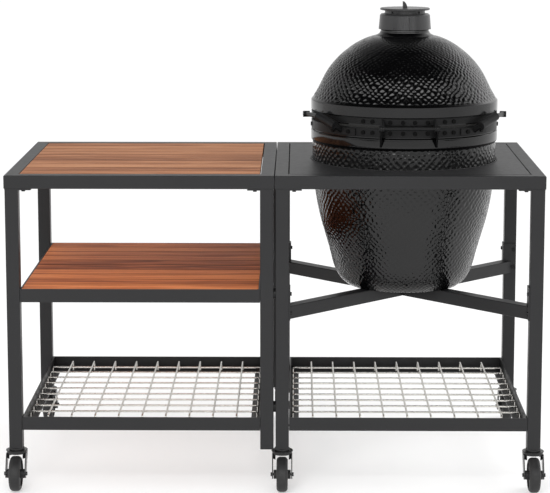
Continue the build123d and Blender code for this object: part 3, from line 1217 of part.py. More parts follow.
def lid_nodes():
    """Nodes of the grill's lid."""
    upper = upper_bolt_places()
    upper_holes = band_holes([(a, z) for a, z, _ in upper])
    ear_at = HINGE_EAR_AT - HINGE_EAR_THICK - HINGE_EAR_GAP
    bracket = hinge_bracket(ear_at, HINGE_EYE_R - HINGE_EAR_GAP, UPPER_STRAP[0], UPPER_STRAP, PLATE_R)
    bead_r = LIP_R + STRAP_GAP
    bead = ring(bead_r + BEAD_BAND_THICK, bead_r, *BEAD_BAND)
    bead_left = wedge(-BEAD_BAND_HALF, 0, CUT_REACH, *BEAD_BAND)
    bead_right = wedge(0, BEAD_BAND_HALF, CUT_REACH, *BEAD_BAND)
    bead = bead & (bead_left + bead_right)
    case, needle, glass = thermometer()
    return {
        "dome": [dome()],
        "lid_gasket": [ring(*GASKET_R, DOME_FOOT - GASKET, DOME_FOOT)],
        "upper_strap": [drilled(strap(*UPPER_STRAP), upper_holes)],
        "bead_band": [bead],
        "upper_hinge_bracket": [drilled(bracket, upper_holes)],
        "upper_band_bolts": [band_bolt(*p) for p in upper] + [clamp_bolt(*UPPER_STRAP)],
        "lid_handle_frame": [lid_handle_frame()],
        "lid_handle_grip": [lid_handle_grip()],
        "thermometer_case": [case],
        "thermometer_needle": [needle],
        "thermometer_glass": [glass],
        "chimney_cap": [chimney_cap()],
        "vent_disc": [vent_disc(), vent_pivot()],
    }


def write(name, pieces):
    """One STEP file for a node, with each of its pieces as a solid of its own."""
    solids = [solid for piece in pieces for solid in piece.solids()]
    shape = solids[0] if len(solids) == 1 else Compound(children=solids)
    export_step(shape, os.path.join("parts", name + ".step"))


os.makedirs("parts", exist_ok=True)
GRILL = Pos(MODULE_X, 0, TABLE_HEIGHT)
NODES = {**table_nodes(), **caster_nodes()}
for made in (base_nodes(), lid_nodes()):
    NODES.update({name: [GRILL * piece for piece in pieces] for name, pieces in made.items()})
for node, pieces in NODES.items():
    write(node, pieces)
print(len(NODES), "nodes")
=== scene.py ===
# %% [markdown]
# An outdoor kitchen: two steel-tube tables on castors, one with a wooden top and shelf, the other carrying a
# black glazed egg grill. The tubes, hinge, castors and grates come from the CAD model, already in place and in
# metres. This script gives every one of them a finish, and adds what a CAD solid leaves out: the dimpled glaze
# on the grill, the printed face of its thermometer and the rubber edging round the hole it hangs in.

# %% Load the model
import json
import math

import bpy
import numpy as np
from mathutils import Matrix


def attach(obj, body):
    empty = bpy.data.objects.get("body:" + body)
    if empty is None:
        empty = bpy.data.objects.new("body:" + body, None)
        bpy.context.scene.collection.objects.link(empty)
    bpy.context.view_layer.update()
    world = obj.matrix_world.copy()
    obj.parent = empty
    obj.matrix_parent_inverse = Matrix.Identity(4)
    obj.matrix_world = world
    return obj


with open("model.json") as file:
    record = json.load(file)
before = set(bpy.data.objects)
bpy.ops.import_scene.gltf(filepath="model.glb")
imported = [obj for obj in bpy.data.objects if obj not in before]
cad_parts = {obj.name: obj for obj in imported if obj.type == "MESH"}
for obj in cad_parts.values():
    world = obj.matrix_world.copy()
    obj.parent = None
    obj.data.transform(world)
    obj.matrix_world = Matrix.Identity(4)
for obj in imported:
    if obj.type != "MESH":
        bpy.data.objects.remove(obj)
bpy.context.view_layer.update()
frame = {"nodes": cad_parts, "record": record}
NODES = frame["nodes"]
SUBPARTS = frame["record"]["subparts"]
TABLE_X = 0.382          # the tables' middles stand this far left and right of the origin, at Y = 0
GRILL_X = TABLE_X        # the grill's upright axis is the right table's
DECK = 0.912             # the tables' top face, from which the grill's heights are measured

# %% [markdown]
# Shader maths reads best as maths. A small class wraps an output socket, so that 1 - mask or height * 0.3 adds
# the Math node by itself, and one method adds any other node. The finishes below are then a few lines each.

# %% A class for shader expressions
class Wire:
    """An output socket that can be added, multiplied or compared; each operation adds one Math node."""

    def __init__(self, finish, socket):
        self.finish = finish
        self.socket = socket

    def math(self, operation, *others):
        sockets = dict(enumerate((self,) + others))
        return self.finish.node("Math", {"operation": operation}, sockets)

    def __add__(self, other):
        return self.math("ADD", other)

    def __sub__(self, other):
        return self.math("SUBTRACT", other)

    def __mul__(self, other):
        return self.math("MULTIPLY", other)

    def __truediv__(self, other):
        return self.math("DIVIDE", other)

    def __pow__(self, other):
        return self.math("POWER", other)

    def __rsub__(self, other):
        return self.finish.node("Math", {"operation": "SUBTRACT"}, {0: other, 1: self})

    def fade(self, start, width):
        """0 up to a start, rising to 1 over a width."""
        return ((self - start) / width).math("MAXIMUM", 0.0).math("MINIMUM", 1.0)

    def ridge(self, middle, half):
        """1 at a middle, falling to 0 at half a width on either side."""
        return (1 - ((self - middle) / half).math("ABSOLUTE")).math("MAXIMUM", 0.0)

    def off_step(self, step):
        """Distance to the nearest multiple of a step."""
        turns = self / step
        return ((turns - turns.math("ROUND")) * step).math("ABSOLUTE")


class Finish:
    """A procedural material: constants go straight on the shader, and what varies is plugged in as a Wire."""

    def __init__(self, name, **constants):
        self.material = bpy.data.materials.new(name)
        self.material.use_nodes = True
        self.tree = self.material.node_tree
        self.shader = self.tree.nodes["Principled BSDF"]
        for label, value in constants.items():
            self.shader.inputs[label.replace("_", " ")].default_value = value
        coordinates = self.tree.nodes.new("ShaderNodeTexCoord")
        self.place = Wire(self, coordinates.outputs["Object"])
        self.uv = Wire(self, coordinates.outputs["UV"])

    def plug(self, socket, value):
        if isinstance(value, Wire):
            self.tree.links.new(value.socket, socket)
        else:
            socket.default_value = value

    def node(self, kind, settings=None, sockets=None, out=0):
        made = self.tree.nodes.new("ShaderNode" + kind)
        for key, value in (settings or {}).items():
            if key == "stops":
                while len(made.color_ramp.elements) < len(value):
                    made.color_ramp.elements.new(1.0)
                for element, (position, colour) in zip(made.color_ramp.elements, value):
                    element.position = position
                    element.color = (*colour, 1.0)
            else:
                setattr(made, key, value)
        for key, value in (sockets or {}).items():
            self.plug(made.inputs[key], value)
        return Wire(self, made.outputs[out])

    def stretched(self, x, y, z, vector=None):
        """Coordinates scaled along each axis, for patterns that run one way."""
        return self.node("Mapping", None, {"Vector": vector or self.place, "Scale": (x, y, z)})

    def noise(self, scale, detail=3.0, rough=0.5, vector=None):
        sockets = {"Vector": vector or self.place, "Scale": scale, "Detail": detail, "Roughness": rough}
        return self.node("TexNoise", None, sockets)

    def axes(self, vector=None):
        """X, Y and Z of a vector as three values."""
        split = self.tree.nodes.new("ShaderNodeSeparateXYZ")
        self.tree.links.new((vector or self.place).socket, split.inputs[0])
        return [Wire(self, output) for output in split.outputs]

    def ramp(self, value, *stops):
        return self.node("ValToRGB", {"stops": stops}, {0: value})

    def mix(self, amount, first, second):
        """Blend of two colours, each a Wire or three numbers."""
        ends = [end if isinstance(end, Wire) else (*end, 1.0) for end in (first, second)]
        return self.node("Mix", {"data_type": "RGBA"}, {0: amount, 6: ends[0], 7: ends[1]}, out=2)

    def between(self, value, low, high):
        """Value from 0..1 spread over low..high."""
        return value * (high - low) + low

    def paint(self, **wires):
        for label, wire in wires.items():
            self.plug(self.shader.inputs[label.replace("_", " ")], wire)
        return self

    def bump(self, height, depth, strength=1.0):
        """Relief of so many metres, fed into the shader's normal."""
        normal = self.node("Bump", None, {"Height": height, "Distance": depth, "Strength": strength})
        return self.paint(Normal=normal)


FINISHES = {}


def finish_for(slot, finish):
    """Remember a finish under the record's slot name."""
    FINISHES[slot] = finish.material
    print("finish:", slot)


# %% [markdown]
# Powder coat is a baked plastic film. Close up it has a fine orange-peel ripple and tiny sparkles of lighter
# grain, and from a low angle it mirrors the room, which is why the tubes' upper faces look paler than their
# fronts. A noise of about half a millimetre gives the ripple, and a broad one keeps the sheen from being even.

# %% Powder-coated steel
def powder_coat(name, dark, light, low, high, shine):
    """Baked film between two tones, its roughness between low and high."""
    coat = Finish(name, Specular_IOR_Level=shine)
    grain = coat.noise(1900.0, 2.0)
    broad = coat.noise(7.0, 2.0)
    coat.paint(Base_Color=coat.mix(grain * 0.6 + broad * 0.4, dark, light))
    coat.paint(Roughness=coat.between(coat.noise(60.0, 3.0), low, high))
    return coat.bump(grain, 0.00006, 0.5)


CHARCOAL = ((0.008, 0.008, 0.0085), (0.015, 0.015, 0.016))
NEAR_BLACK = ((0.005, 0.005, 0.005), (0.011, 0.011, 0.0115))
JET = ((0.001, 0.001, 0.001), (0.002, 0.002, 0.002))
finish_for("powder_coat", powder_coat("charcoal_coat", *CHARCOAL, 0.38, 0.48, 0.33))
finish_for("deck_coat", powder_coat("deck_coat", *CHARCOAL, 0.40, 0.50, 0.5))
finish_for("band_steel", powder_coat("band_coat", *NEAR_BLACK, 0.16, 0.24, 0.36))
finish_for("castor_steel", powder_coat("castor_enamel", *NEAR_BLACK, 0.22, 0.32, 0.4))
finish_for("black_bolt", powder_coat("bolt_oxide", *NEAR_BLACK, 0.26, 0.40, 0.2))
STRAP_COAT = powder_coat("strap_coat", *NEAR_BLACK, 0.34, 0.46, 0.15).material
BOLT_GLOSS = powder_coat("bolt_gloss", *JET, 0.12, 0.2, 0.08).material

# %% [markdown]
# The slats are an oiled hardwood. Three things make wood read as wood: each board has its own tone, the growth
# lines run along it and wander a little, and short dark pores lie in the same direction. The board's number
# comes from its place across the table, so every slat draws its own colour, and painted shade darkens it towards
# its long edges, for the shadow in the gaps between the boards.

# %% Oiled hardwood
def slat_wood(name, half_depth, count, tones, gloss):
    """Boards along X: a tone for each board, wandering growth lines and fine pores."""
    wood = Finish(name, Specular_IOR_Level=0.22)
    x, y, z = wood.axes()
    place = (y + half_depth) * (count / (2 * half_depth))
    board = place.math("FLOOR")
    # painted shade: 1 towards each board's long edges, for the shadow in the gaps between boards
    board_edge_shade = (place - board - 0.5).math("ABSOLUTE").fade(0.40, 0.09)
    tone = wood.node("TexWhiteNoise", {"noise_dimensions": "1D"}, {"W": board + 3.7})
    shifted = wood.node("CombineXYZ", None, {0: x + board * 0.731, 1: y, 2: z})

    def along(length, width, detail, rough):
        """Noise whose grains are so long along the board and so wide across it, in metres."""
        return wood.noise(1.0, detail, rough, wood.stretched(1 / length, 1 / width, 1 / width, shifted))

    wander = along(0.9, 0.034, 3.0, 0.5)
    streaks = along(0.8, 0.018, 5.0, 0.75)
    fine = along(0.16, 0.0022, 3.0, 0.6)
    lines = ((wander * 46.0).math("SINE") * 0.5 + 0.5) ** 1.6
    pores = along(0.022, 0.0011, 1.0, 0.5).math("GREATER_THAN", 0.66)
    depth = lines * 0.2 + (streaks - 0.5) * 0.95 + fine * 0.16 + wander * 0.12 + 0.26
    colour = wood.ramp(depth + (tone - 0.5) * 0.26, *tones)
    colour = wood.mix(pores * 0.4, colour, tones[0][1])
    # painted shade along the boards' long edges: the colour is mixed towards a darker copy of the darkest tone
    colour = wood.mix(board_edge_shade * 0.62, colour, [value * 0.35 for value in tones[0][1]])
    wood.paint(Base_Color=colour, Roughness=wood.between(fine, *gloss))
    return wood.bump(fine * 0.7 - pores * 0.5, 0.0002, 0.5)


TOP_TONES = ((0.26, (0.155, 0.054, 0.022)), (0.46, (0.28, 0.111, 0.048)), (0.68, (0.39, 0.18, 0.086)))
# painted light: the shelf is the same wood as the top, and its tones are made lighter to make up for the shade under
# the top
SHELF_LIFTED_TONES = ((0.28, (0.19, 0.044, 0.013)), (0.46, (0.52, 0.148, 0.046)), (0.68, (0.72, 0.25, 0.085)))
SLATS = 10               # boards in the top, and in the shelf
TOP_HALF, SHELF_HALF = 0.3428, 0.373                 # half their depth, front to back
finish_for("top_wood", slat_wood("top_slats", TOP_HALF, SLATS, TOP_TONES, (0.6, 0.76)))
finish_for("shelf_wood", slat_wood("shelf_slats", SHELF_HALF, SLATS, SHELF_LIFTED_TONES, (0.6, 0.74)))

# %% [markdown]
# The rack is drawn stainless wire, spot-welded where the wires cross. Drawing leaves long faint lines, and each
# weld leaves a small warm heat stain. The welds sit on a regular 68 mm grid, so the stain is worked out from the
# distance to the nearest crossing.

# %% Drawn stainless wire
WIRE_STEP = 0.068        # between neighbouring wires, one of which crosses the table's middle
STAIN_R = 0.007          # reach of a weld's heat stain


def drawn_wire(name):
    """Stainless wire with drawing lines and a stain at every crossing."""
    wire = Finish(name, Metallic=1.0)
    x, y, _ = wire.axes()
    near_x = (x.math("ABSOLUTE") - TABLE_X).off_step(WIRE_STEP)
    near_y = y.off_step(WIRE_STEP)
    stain = 1 - (near_x.math("MAXIMUM", near_y) / STAIN_R).math("MINIMUM", 1.0)
    streaks = wire.noise(1.0, 2.0, 0.5, wire.stretched(260.0, 260.0, 900.0))
    colour = wire.mix(streaks, (0.50, 0.485, 0.455), (0.69, 0.675, 0.64))
    wire.paint(Base_Color=wire.mix(stain * 0.5, colour, (0.3, 0.235, 0.17)))
    wire.paint(Roughness=wire.between(streaks, 0.2, 0.34) + stain * 0.15)
    return wire.bump(streaks, 0.00004, 0.4)


finish_for("wire_steel", drawn_wire("rack_wire"))

# %% [markdown]
# Tyres are black rubber: nearly matt, a little dusty, with the faint speckle of the mould. The grill brings four more
# finishes: felt between its rims, bare fired clay round the fire, cast iron on the chimney and brushed steel.

# %% Rubber, felt, fired clay, iron and brushed steel
def rubber():
    """Dusty black rubber."""
    tyre = Finish("tyre_rubber", Specular_IOR_Level=0.35)
    dust = tyre.noise(26.0, 5.0, 0.65)
    tyre.paint(Base_Color=tyre.mix(dust ** 2.0, (0.011, 0.011, 0.012), (0.04, 0.039, 0.037)))
    tyre.paint(Roughness=tyre.between(dust, 0.46, 0.66))
    return tyre.bump(tyre.noise(700.0, 2.0), 0.00012, 0.5)


def felt():
    """Dark pressed fibres."""
    pad = Finish("gasket_felt", Specular_IOR_Level=0.15)
    fibres = pad.noise(1.0, 5.0, 0.7, pad.stretched(900.0, 900.0, 1500.0))
    pad.paint(Base_Color=pad.ramp(fibres, (0.25, (0.012, 0.012, 0.012)), (0.75, (0.04, 0.039, 0.038))))
    pad.paint(Roughness=pad.between(fibres, 0.85, 1.0))
    return pad.bump(fibres, 0.0006)


def fired_clay():
    """Pale clay with dark specks."""
    clay = Finish("fired_clay", Specular_IOR_Level=0.25)
    specks = clay.noise(420.0, 2.0, 0.6)
    clouds = clay.noise(11.0, 4.0, 0.6)
    colour = clay.mix(clouds, (0.42, 0.33, 0.24), (0.58, 0.49, 0.39))
    colour = clay.mix(specks.math("GREATER_THAN", 0.63) * 0.6, colour, (0.2, 0.15, 0.11))
    clay.paint(Base_Color=colour, Roughness=clay.between(specks, 0.72, 0.92))
    return clay.bump(specks, 0.0003)


def cast_iron(name, dark, light, low, high):
    """Sand-cast metal under a thin dark film."""
    iron = Finish(name, Specular_IOR_Level=0.5)
    sand = iron.noise(900.0, 3.0, 0.6)
    clouds = iron.noise(24.0, 3.0, 0.55)
    iron.paint(Base_Color=iron.mix(clouds * 0.6 + sand * 0.4, dark, light))
    iron.paint(Roughness=iron.between(clouds, low, high))
    return iron.bump(sand, 0.00025, 0.7)


def brushed(name, dark, light):
    """Steel with fine lines along X."""
    steel = Finish(name, Metallic=1.0)
    lines = steel.noise(1.0, 3.0, 0.6, steel.stretched(14.0, 900.0, 900.0))
    steel.paint(Base_Color=steel.mix(lines, dark, light), Roughness=steel.between(lines, 0.26, 0.4))
    return steel.bump(lines, 0.00004, 0.5)


finish_for("castor_rubber", rubber())
finish_for("felt", felt())
finish_for("fired_ceramic", fired_clay())
finish_for("cast_iron", cast_iron("vent_iron", (0.014, 0.014, 0.0145), (0.03, 0.03, 0.031), 0.24, 0.36))
finish_for("grid_steel", brushed("brushed_steel", (0.42, 0.41, 0.39), (0.6, 0.59, 0.57)))

# %% [markdown]
# Small finishes of the hidden side: a grip with a moulded grain, a red enamelled needle and a clear glass.

# %% Grip, needle and glass
def grip_grain():
    """Black plastic with a cell pattern moulded in."""
    grip = Finish("grip_grain", Specular_IOR_Level=0.4)
    cells = grip.node("TexVoronoi", {"feature": "DISTANCE_TO_EDGE"}, {"Vector": grip.place, "Scale": 520.0})
    grip.paint(Base_Color=grip.mix(grip.noise(30.0), (0.011, 0.011, 0.011), (0.02, 0.02, 0.02)))
    grip.paint(Roughness=grip.between(grip.noise(90.0), 0.5, 0.66))
    return grip.bump(cells, 0.0005, 0.6)


def enamel():
    """Glossy red paint."""
    red = Finish("needle_enamel", Coat_Weight=0.3)
    red.paint(Base_Color=red.mix(red.noise(500.0), (0.42, 0.012, 0.01), (0.55, 0.03, 0.02)))
    return red.paint(Roughness=red.between(red.noise(300.0), 0.25, 0.4))


def clear_glass():
    """Clear glass with a trace of blue-green."""
    glass = Finish("dial_glass", Transmission_Weight=1.0, IOR=1.45)
    glass.paint(Base_Color=glass.mix(glass.noise(40.0), (0.96, 0.98, 0.98), (1.0, 1.0, 1.0)))
    return glass.paint(Roughness=glass.between(glass.noise(120.0), 0.0, 0.03))


finish_for("grip", grip_grain())
finish_for("needle", enamel())
finish_for("glass", clear_glass())

# %% [markdown]
# The glaze is black glass fired onto clay. On the real grill it is dented all over by rows of small round
# dimples, and a dimple's wall mirrors another part of the room than the wall round it, which is the sparkle in
# the picture. The dents are real geometry here, on a skin that lies over the CAD ceramic, and the shader adds
# their crisp middles from the same lattice, which the skin carries as its UV map. The two lips at the parting line
# are smooth, and on the dome's crown the dents are left to the geometry. Inside, the clay is bare and a little
# sooty: a wall that faces the grill's axis is an inner one.

# %% Black glaze
DENTS_AROUND = 84        # dimples in one turn
ROW_RATIO = 0.53         # row spacing over the spacing along a row
DENT_R = 0.41            # dimple radius, in spacings along a row
TURN = 2 * math.pi / DENTS_AROUND
LIPS_AT, LIPS_HALF = DECK + 0.121, 0.064             # middle and half height of the smooth lips
CROWN_AT, CROWN_FADE = DECK + 0.330, 0.014           # the shader's dents end here, fading out just below
INNER = -0.002           # distance from the axis times how far a wall faces away from it; less is an inner wall
# The rows wander a little. Each wave: how far it pushes, its turns round the grill, its pace per row, its start
PUSH_ALONG = ((0.13, 16, 0.9, 0.0), (0.09, 32, -1.7, 1.0))
PUSH_UP = ((0.24, 12, 1.3, 2.0), (0.15, 36, -2.3, 0.4))


def waves(along, row, pushes, sine):
    """Sum of sine waves over the lattice, each of them closing on itself round the grill."""
    total = 0.0
    for amount, turns, pace, start in pushes:
        total = sine(along * (turns * TURN) + row * pace + start) * amount + total
    return total


def glaze(name, dented):
    """Black glass: dented, with dimples sharpened by the lattice in the UV map, or plain, with bare clay inside."""
    glass = Finish(name, Specular_IOR_Level=0.43)
    pools = glass.noise(18.0, 4.0, 0.6)
    ripple = glass.noise(150.0, 2.0)
    black = glass.mix(pools, (0.0006, 0.0006, 0.0007), (0.0018, 0.0018, 0.002))
    gloss = glass.between(pools, 0.06, 0.12)
    if not dented:
        x, y, _ = glass.axes()
        facing_x, facing_y, _ = glass.axes(glass.node("TexCoord", None, None, out=1))
        bare = ((x - GRILL_X) * facing_x + y * facing_y).math("LESS_THAN", INNER)
        clay = glass.mix(glass.noise(9.0, 4.0, 0.6), (0.13, 0.115, 0.1), (0.34, 0.31, 0.27))
        glass.paint(Base_Color=glass.mix(bare, black, clay), Roughness=gloss + bare * 0.72)
        return glass.bump(ripple, 0.00012, 0.4)
    glass.paint(Base_Color=black, Roughness=gloss)
    u, v, _ = glass.axes(glass.uv)
    along = u + waves(u, v, PUSH_ALONG, lambda wire: wire.math("SINE"))
    row = v + waves(u, v, PUSH_UP, lambda wire: wire.math("SINE"))

    def dents(shift, first):
        """Round dents on every second row: 1 in a dent's middle, 0 from its rim on."""
        across = along - shift
        across = across - across.math("ROUND")
        up = (row - first) * 0.5
        up = (up - up.math("ROUND")) * (2.0 * ROW_RATIO)
        far = (across * across + up * up) / (DENT_R * DENT_R)
        return (1 - far).math("MAXIMUM", 0.0) ** 2.0

    height = glass.axes()[2]
    off_lips = (height - LIPS_AT).math("ABSOLUTE").math("GREATER_THAN", LIPS_HALF)
    below_crown = (CROWN_AT - height).fade(0.0, CROWN_FADE)
    hollow = (dents(0.0, 0.0) + dents(0.5, 1.0)) * off_lips * below_crown
    return glass.bump(ripple * 0.1 - hollow, 0.0006, 0.6)


finish_for("glazed_ceramic", glaze("black_glaze", False))
DENTED_GLAZE = glaze("dented_glaze", True).material

# %% [markdown]
# Every CAD node now gets the finish of its slot. The record lists which slot each node belongs to. The grill's
# straps with their brackets, and the bolts of its bands, have a coat of their own.

# %% Dress the CAD nodes
STRAP_NODES = ("lower_strap", "upper_strap", "lower_hinge_bracket", "upper_hinge_bracket", "side_brackets",
               "hinge_pin")


def dress(piece, material):
    """Give a piece one material and no other."""
    piece.data.materials.clear()
    piece.data.materials.append(material)


for entry in SUBPARTS:
    dress(NODES[entry["node"]], FINISHES[entry["material_slot"]])
for name in STRAP_NODES:
    dress(NODES[name], STRAP_COAT)
for name in ("lower_band_bolts", "upper_band_bolts"):
    dress(NODES[name], BOLT_GLOSS)
print("dressed", len(SUBPARTS), "nodes")

# %% [markdown]
# New pieces are grids of points. One helper makes a piece of points and faces, another numbers the quads of a
# grid that closes on itself, and a third draws a smooth curve through a few control points, in the way a
# draughtsman bends a thin batten.

# %% Grid meshes and a smooth curve
def add_piece(name, points, faces, material, body, uv=None, smooth=True):
    """Mesh object from an array of points and lists of corner numbers, riding on a body."""
    mesh = bpy.data.meshes.new(name)
    mesh.from_pydata(points.tolist(), [], faces)
    if uv is not None:
        layer = mesh.uv_layers.new(name="lattice")
        layer.data.foreach_set("uv", np.asarray(uv, dtype=np.float32).ravel())
    mesh.polygons.foreach_set("use_smooth", np.full(len(mesh.polygons), smooth))
    mesh.update()
    piece = bpy.data.objects.new(name, mesh)
    bpy.context.scene.collection.objects.link(piece)
    mesh.materials.append(material)
    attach(piece, body)
    return piece


def grid_quads(rows, columns, first=0):
    """Corner numbers of the quads of a grid whose last column joins the first."""
    i, j = np.meshgrid(np.arange(rows - 1), np.arange(columns), indexing="ij")
    k = (j + 1) % columns
    quads = np.stack([i * columns + j, i * columns + k, (i + 1) * columns + k, (i + 1) * columns + j], axis=-1)
    return quads.reshape(-1, 4) + first


def curve_through(knots, count):
    """Natural cubic spline through points, spaced evenly by length."""
    knots = np.asarray(knots, dtype=float)
    t = np.concatenate([[0], np.cumsum(np.hypot(*np.diff(knots, axis=0).T))])
    h = np.diff(t)
    n = len(t)
    system = np.eye(n)
    right = np.zeros_like(knots)
    inner = np.arange(1, n - 1)
    system[inner, inner - 1] = h[:-1]
    system[inner, inner] = 2 * (h[:-1] + h[1:])
    system[inner, inner + 1] = h[1:]
    slope = np.diff(knots, axis=0) / h[:, None]
    right[1:-1] = 6 * np.diff(slope, axis=0)
    second = np.linalg.solve(system, right)

    def at(u):
        k = np.clip(np.searchsorted(t, u) - 1, 0, n - 2)
        a, b, w = (t[k + 1] - u)[:, None], (u - t[k])[:, None], h[k][:, None]
        cubic = (second[k] * a ** 3 + second[k + 1] * b ** 3) / (6 * w)
        return cubic + (knots[k] / w - second[k] * w / 6) * a + (knots[k + 1] / w - second[k + 1] * w / 6) * b

    dense = at(np.linspace(0, t[-1], 2000))
    length = np.concatenate([[0], np.cumsum(np.hypot(*np.diff(dense, axis=0).T))])
    even = np.linspace(0, length[-1], count)
    return np.stack([np.interp(even, length, dense[:, k]) for k in (0, 1)], axis=1)


# %% [markdown]
# The dimpled skins. A skin is the ceramic's own outline turned about the grill's axis and lifted by less than two
# millimetres, with the dents pressed back into it. Height along the outline is measured in shares of the radius,
# so that the lattice keeps its shape as the egg narrows, just as the rows on the real one close up towards the
# chimney, where a second lattice with fewer dents takes over.

# %% Lattice of dimples
SKIN = 0.0017            # skin's outside over the ceramic, where it is dented
SMOOTH_SKIN = 0.0001     # the same, where it is smooth
SKIN_BACK = 0.0006       # skin's inner wall, sunk into the ceramic
DENT_DEPTH = 0.0014      # at the egg's widest; smaller with the dents towards its ends
DENT_GRID = 7            # columns of points for each dimple
COLUMNS = DENTS_AROUND * DENT_GRID
WIDEST = 0.271           # radius of the egg where it is widest
CROWN = 0.75             # share of the dents left in a row near the ends of the egg
CROWN_R, CROWN_BLEND = 0.58, 0.08                    # of the widest radius: where that begins, and how softly


def dent_field(turns, level):
    """Depth 0 to 1 of the dimples at a lattice place: two interleaved sets of wandering rows of round dents."""
    along = turns + waves(turns, level, PUSH_ALONG, np.sin)
    row = level + waves(turns, level, PUSH_UP, np.sin)
    total = np.zeros(along.shape)
    for shift, first in ((0.0, 0.0), (0.5, 1.0)):
        across = along - shift - np.round(along - shift)
        up = (row - first) / 2
        up = (up - np.round(up)) * 2 * ROW_RATIO
        total += np.maximum(0, 1 - (across ** 2 + up ** 2) / DENT_R ** 2) ** 2
    return total


def lattice_levels(outline):
    """Row of the lattice at each point of an outline, counted from its foot."""
    radius = outline[:, 0]
    step = np.hypot(*np.diff(outline, axis=0).T)
    climbed = np.concatenate([[0], np.cumsum(step * 2 / (radius[1:] + radius[:-1]))])
    return climbed / (TURN * ROW_RATIO)


def dent_depths(radius, level, dented):
    """Depth in metres at every row and column of a skin; dented is 1 on rows with dents and 0 on smooth ones."""
    turns, level = np.arange(COLUMNS)[None, :] / DENT_GRID, level[:, None]
    wide = np.clip((radius / WIDEST - CROWN_R) / CROWN_BLEND, 0, 1)[:, None]
    depth = dent_field(turns, level) * wide
    depth += dent_field(turns * CROWN, level * CROWN) * (1 - wide) / CROWN
    return depth * (dented * radius / WIDEST)[:, None] * DENT_DEPTH


print("lattice:", DENTS_AROUND, "dimples round,", COLUMNS, "columns of points")

# %% [markdown]
# A skin is a closed shell: the front with the dents, a coarser inner wall, and an edge at its foot and its head.
# The base's skin leaves a window for the draft. Its sill and lintel are quads between the two walls, and its
# jambs are faces with many corners, because the inner wall has fewer rows than the front.

# %% Closed skins
BACK_STEP = 12           # rows of the front for one row of the inner wall


def ring_quads(lower, upper):
    """Quads between two rings of points, given by the numbers of their first points."""
    here = np.arange(COLUMNS)
    following = (here + 1) % COLUMNS
    return np.stack([lower + here, lower + following, upper + following, upper + here], axis=1)


def outside(quads, first, row_of_ring, window):
    """The quads of a wall that lie outside a window of rows and columns."""
    (low, high), (left, right) = window
    ring, column = np.divmod(quads[:, 0] - first, COLUMNS)
    row = row_of_ring[ring]
    return quads[(row < low) | (row >= high) | (column < left) | (column >= right)]


def window_sides(back_start, window):
    """Sill and lintel as quads and the jambs as longer faces; back_start has the inner wall's rings by row."""
    (low, high), (left, right) = window
    column = np.arange(left, right)
    sill, lintel = low * COLUMNS + column, high * COLUMNS + column
    back_sill, back_lintel = back_start[low] + column, back_start[high] + column
    quads = [np.stack([sill, sill + 1, back_sill + 1, back_sill], axis=1),
             np.stack([back_lintel, back_lintel + 1, lintel + 1, lintel], axis=1)]
    jambs = []
    inner = [row for row in back_start if low <= row <= high]
    for start, end in zip(inner[:-1], inner[1:]):
        climb = np.arange(start, end + 1) * COLUMNS
        jambs.append([back_start[start] + left, back_start[end] + left, *(climb[::-1] + left)])
        jambs.append([*(climb + right), back_start[end] + right, back_start[start] + right])
    return quads, jambs


def lattice_uv(quads, jambs, level):
    """Lattice place of every mesh corner, level being given for each point; the last column closes on a full turn."""
    column = quads % COLUMNS
    closing = (column == 0) & (column.max(axis=1, keepdims=True) > COLUMNS // 2)
    along = np.where(closing, COLUMNS, column)
    corners = np.concatenate([quads.ravel(), *jambs]).astype(int)
    along = np.concatenate([along.ravel(), corners[quads.size:] % COLUMNS])
    return np.stack([along / DENT_GRID, level[corners]], axis=1)


def dimpled_skin(name, outline, dented, body, window=None):
    """Outline of radius and height turned about the grill's axis, lifted, dented and closed with an inner wall."""
    radius, height = outline.T
    level = lattice_levels(outline)
    tangent = np.gradient(outline, axis=0)
    tangent /= np.hypot(*tangent.T)[:, None]
    out_r, out_z = tangent[:, 1:2], -tangent[:, 0:1]
    lift = (SKIN * dented + SMOOTH_SKIN * (1 - dented))[:, None] - dent_depths(radius, level, dented)
    angle = 2 * math.pi * np.arange(COLUMNS) / COLUMNS

    def turned(rows, amount):
        """Rings of points on some rows of the outline, moved outwards by an amount."""
        r = radius[rows, None] + out_r[rows] * amount
        z = height[rows, None] + out_z[rows] * amount
        x, y = GRILL_X + r * np.sin(angle), -r * np.cos(angle)
        return np.stack([x, y, np.broadcast_to(z, x.shape)], axis=-1).reshape(-1, 3)

    rows = np.arange(len(outline))
    back_rows = np.unique([*rows[::BACK_STEP], rows[-1], *(window[0] if window else ())])
    points = np.concatenate([turned(rows, lift), turned(back_rows, -SKIN_BACK)])
    base = len(rows) * COLUMNS
    back_start = {row: base + n * COLUMNS for n, row in enumerate(back_rows)}
    front = grid_quads(len(rows), COLUMNS)
    back = grid_quads(len(back_rows), COLUMNS, base)
    edges = [ring_quads(base, 0), ring_quads(rows[-1] * COLUMNS, back_start[rows[-1]])]
    jambs = []
    if window:
        front = outside(front, 0, rows, window)
        back = outside(back, base, back_rows, window)
        sides, jambs = window_sides(back_start, window)
        edges += sides
    quads = np.concatenate([front, back[:, ::-1], *edges])
    faces = quads.tolist() + [[int(corner) for corner in jamb] for jamb in jambs]
    uv = lattice_uv(quads, jambs, np.repeat(level[np.concatenate([rows, back_rows])], COLUMNS))
    piece = add_piece(name, points, faces, DENTED_GLAZE, body, uv)
    print(name, "triangles:", sum(len(p.vertices) - 2 for p in piece.data.polygons))


# %% [markdown]
# The outlines are the CAD ceramic's own, in millimetres from the axis and above the deck. Both end in a smooth
# lip at the parting line. At the top the dome's skin leaves the dome and rounds the corner with the neck, up to
# the chimney cap.

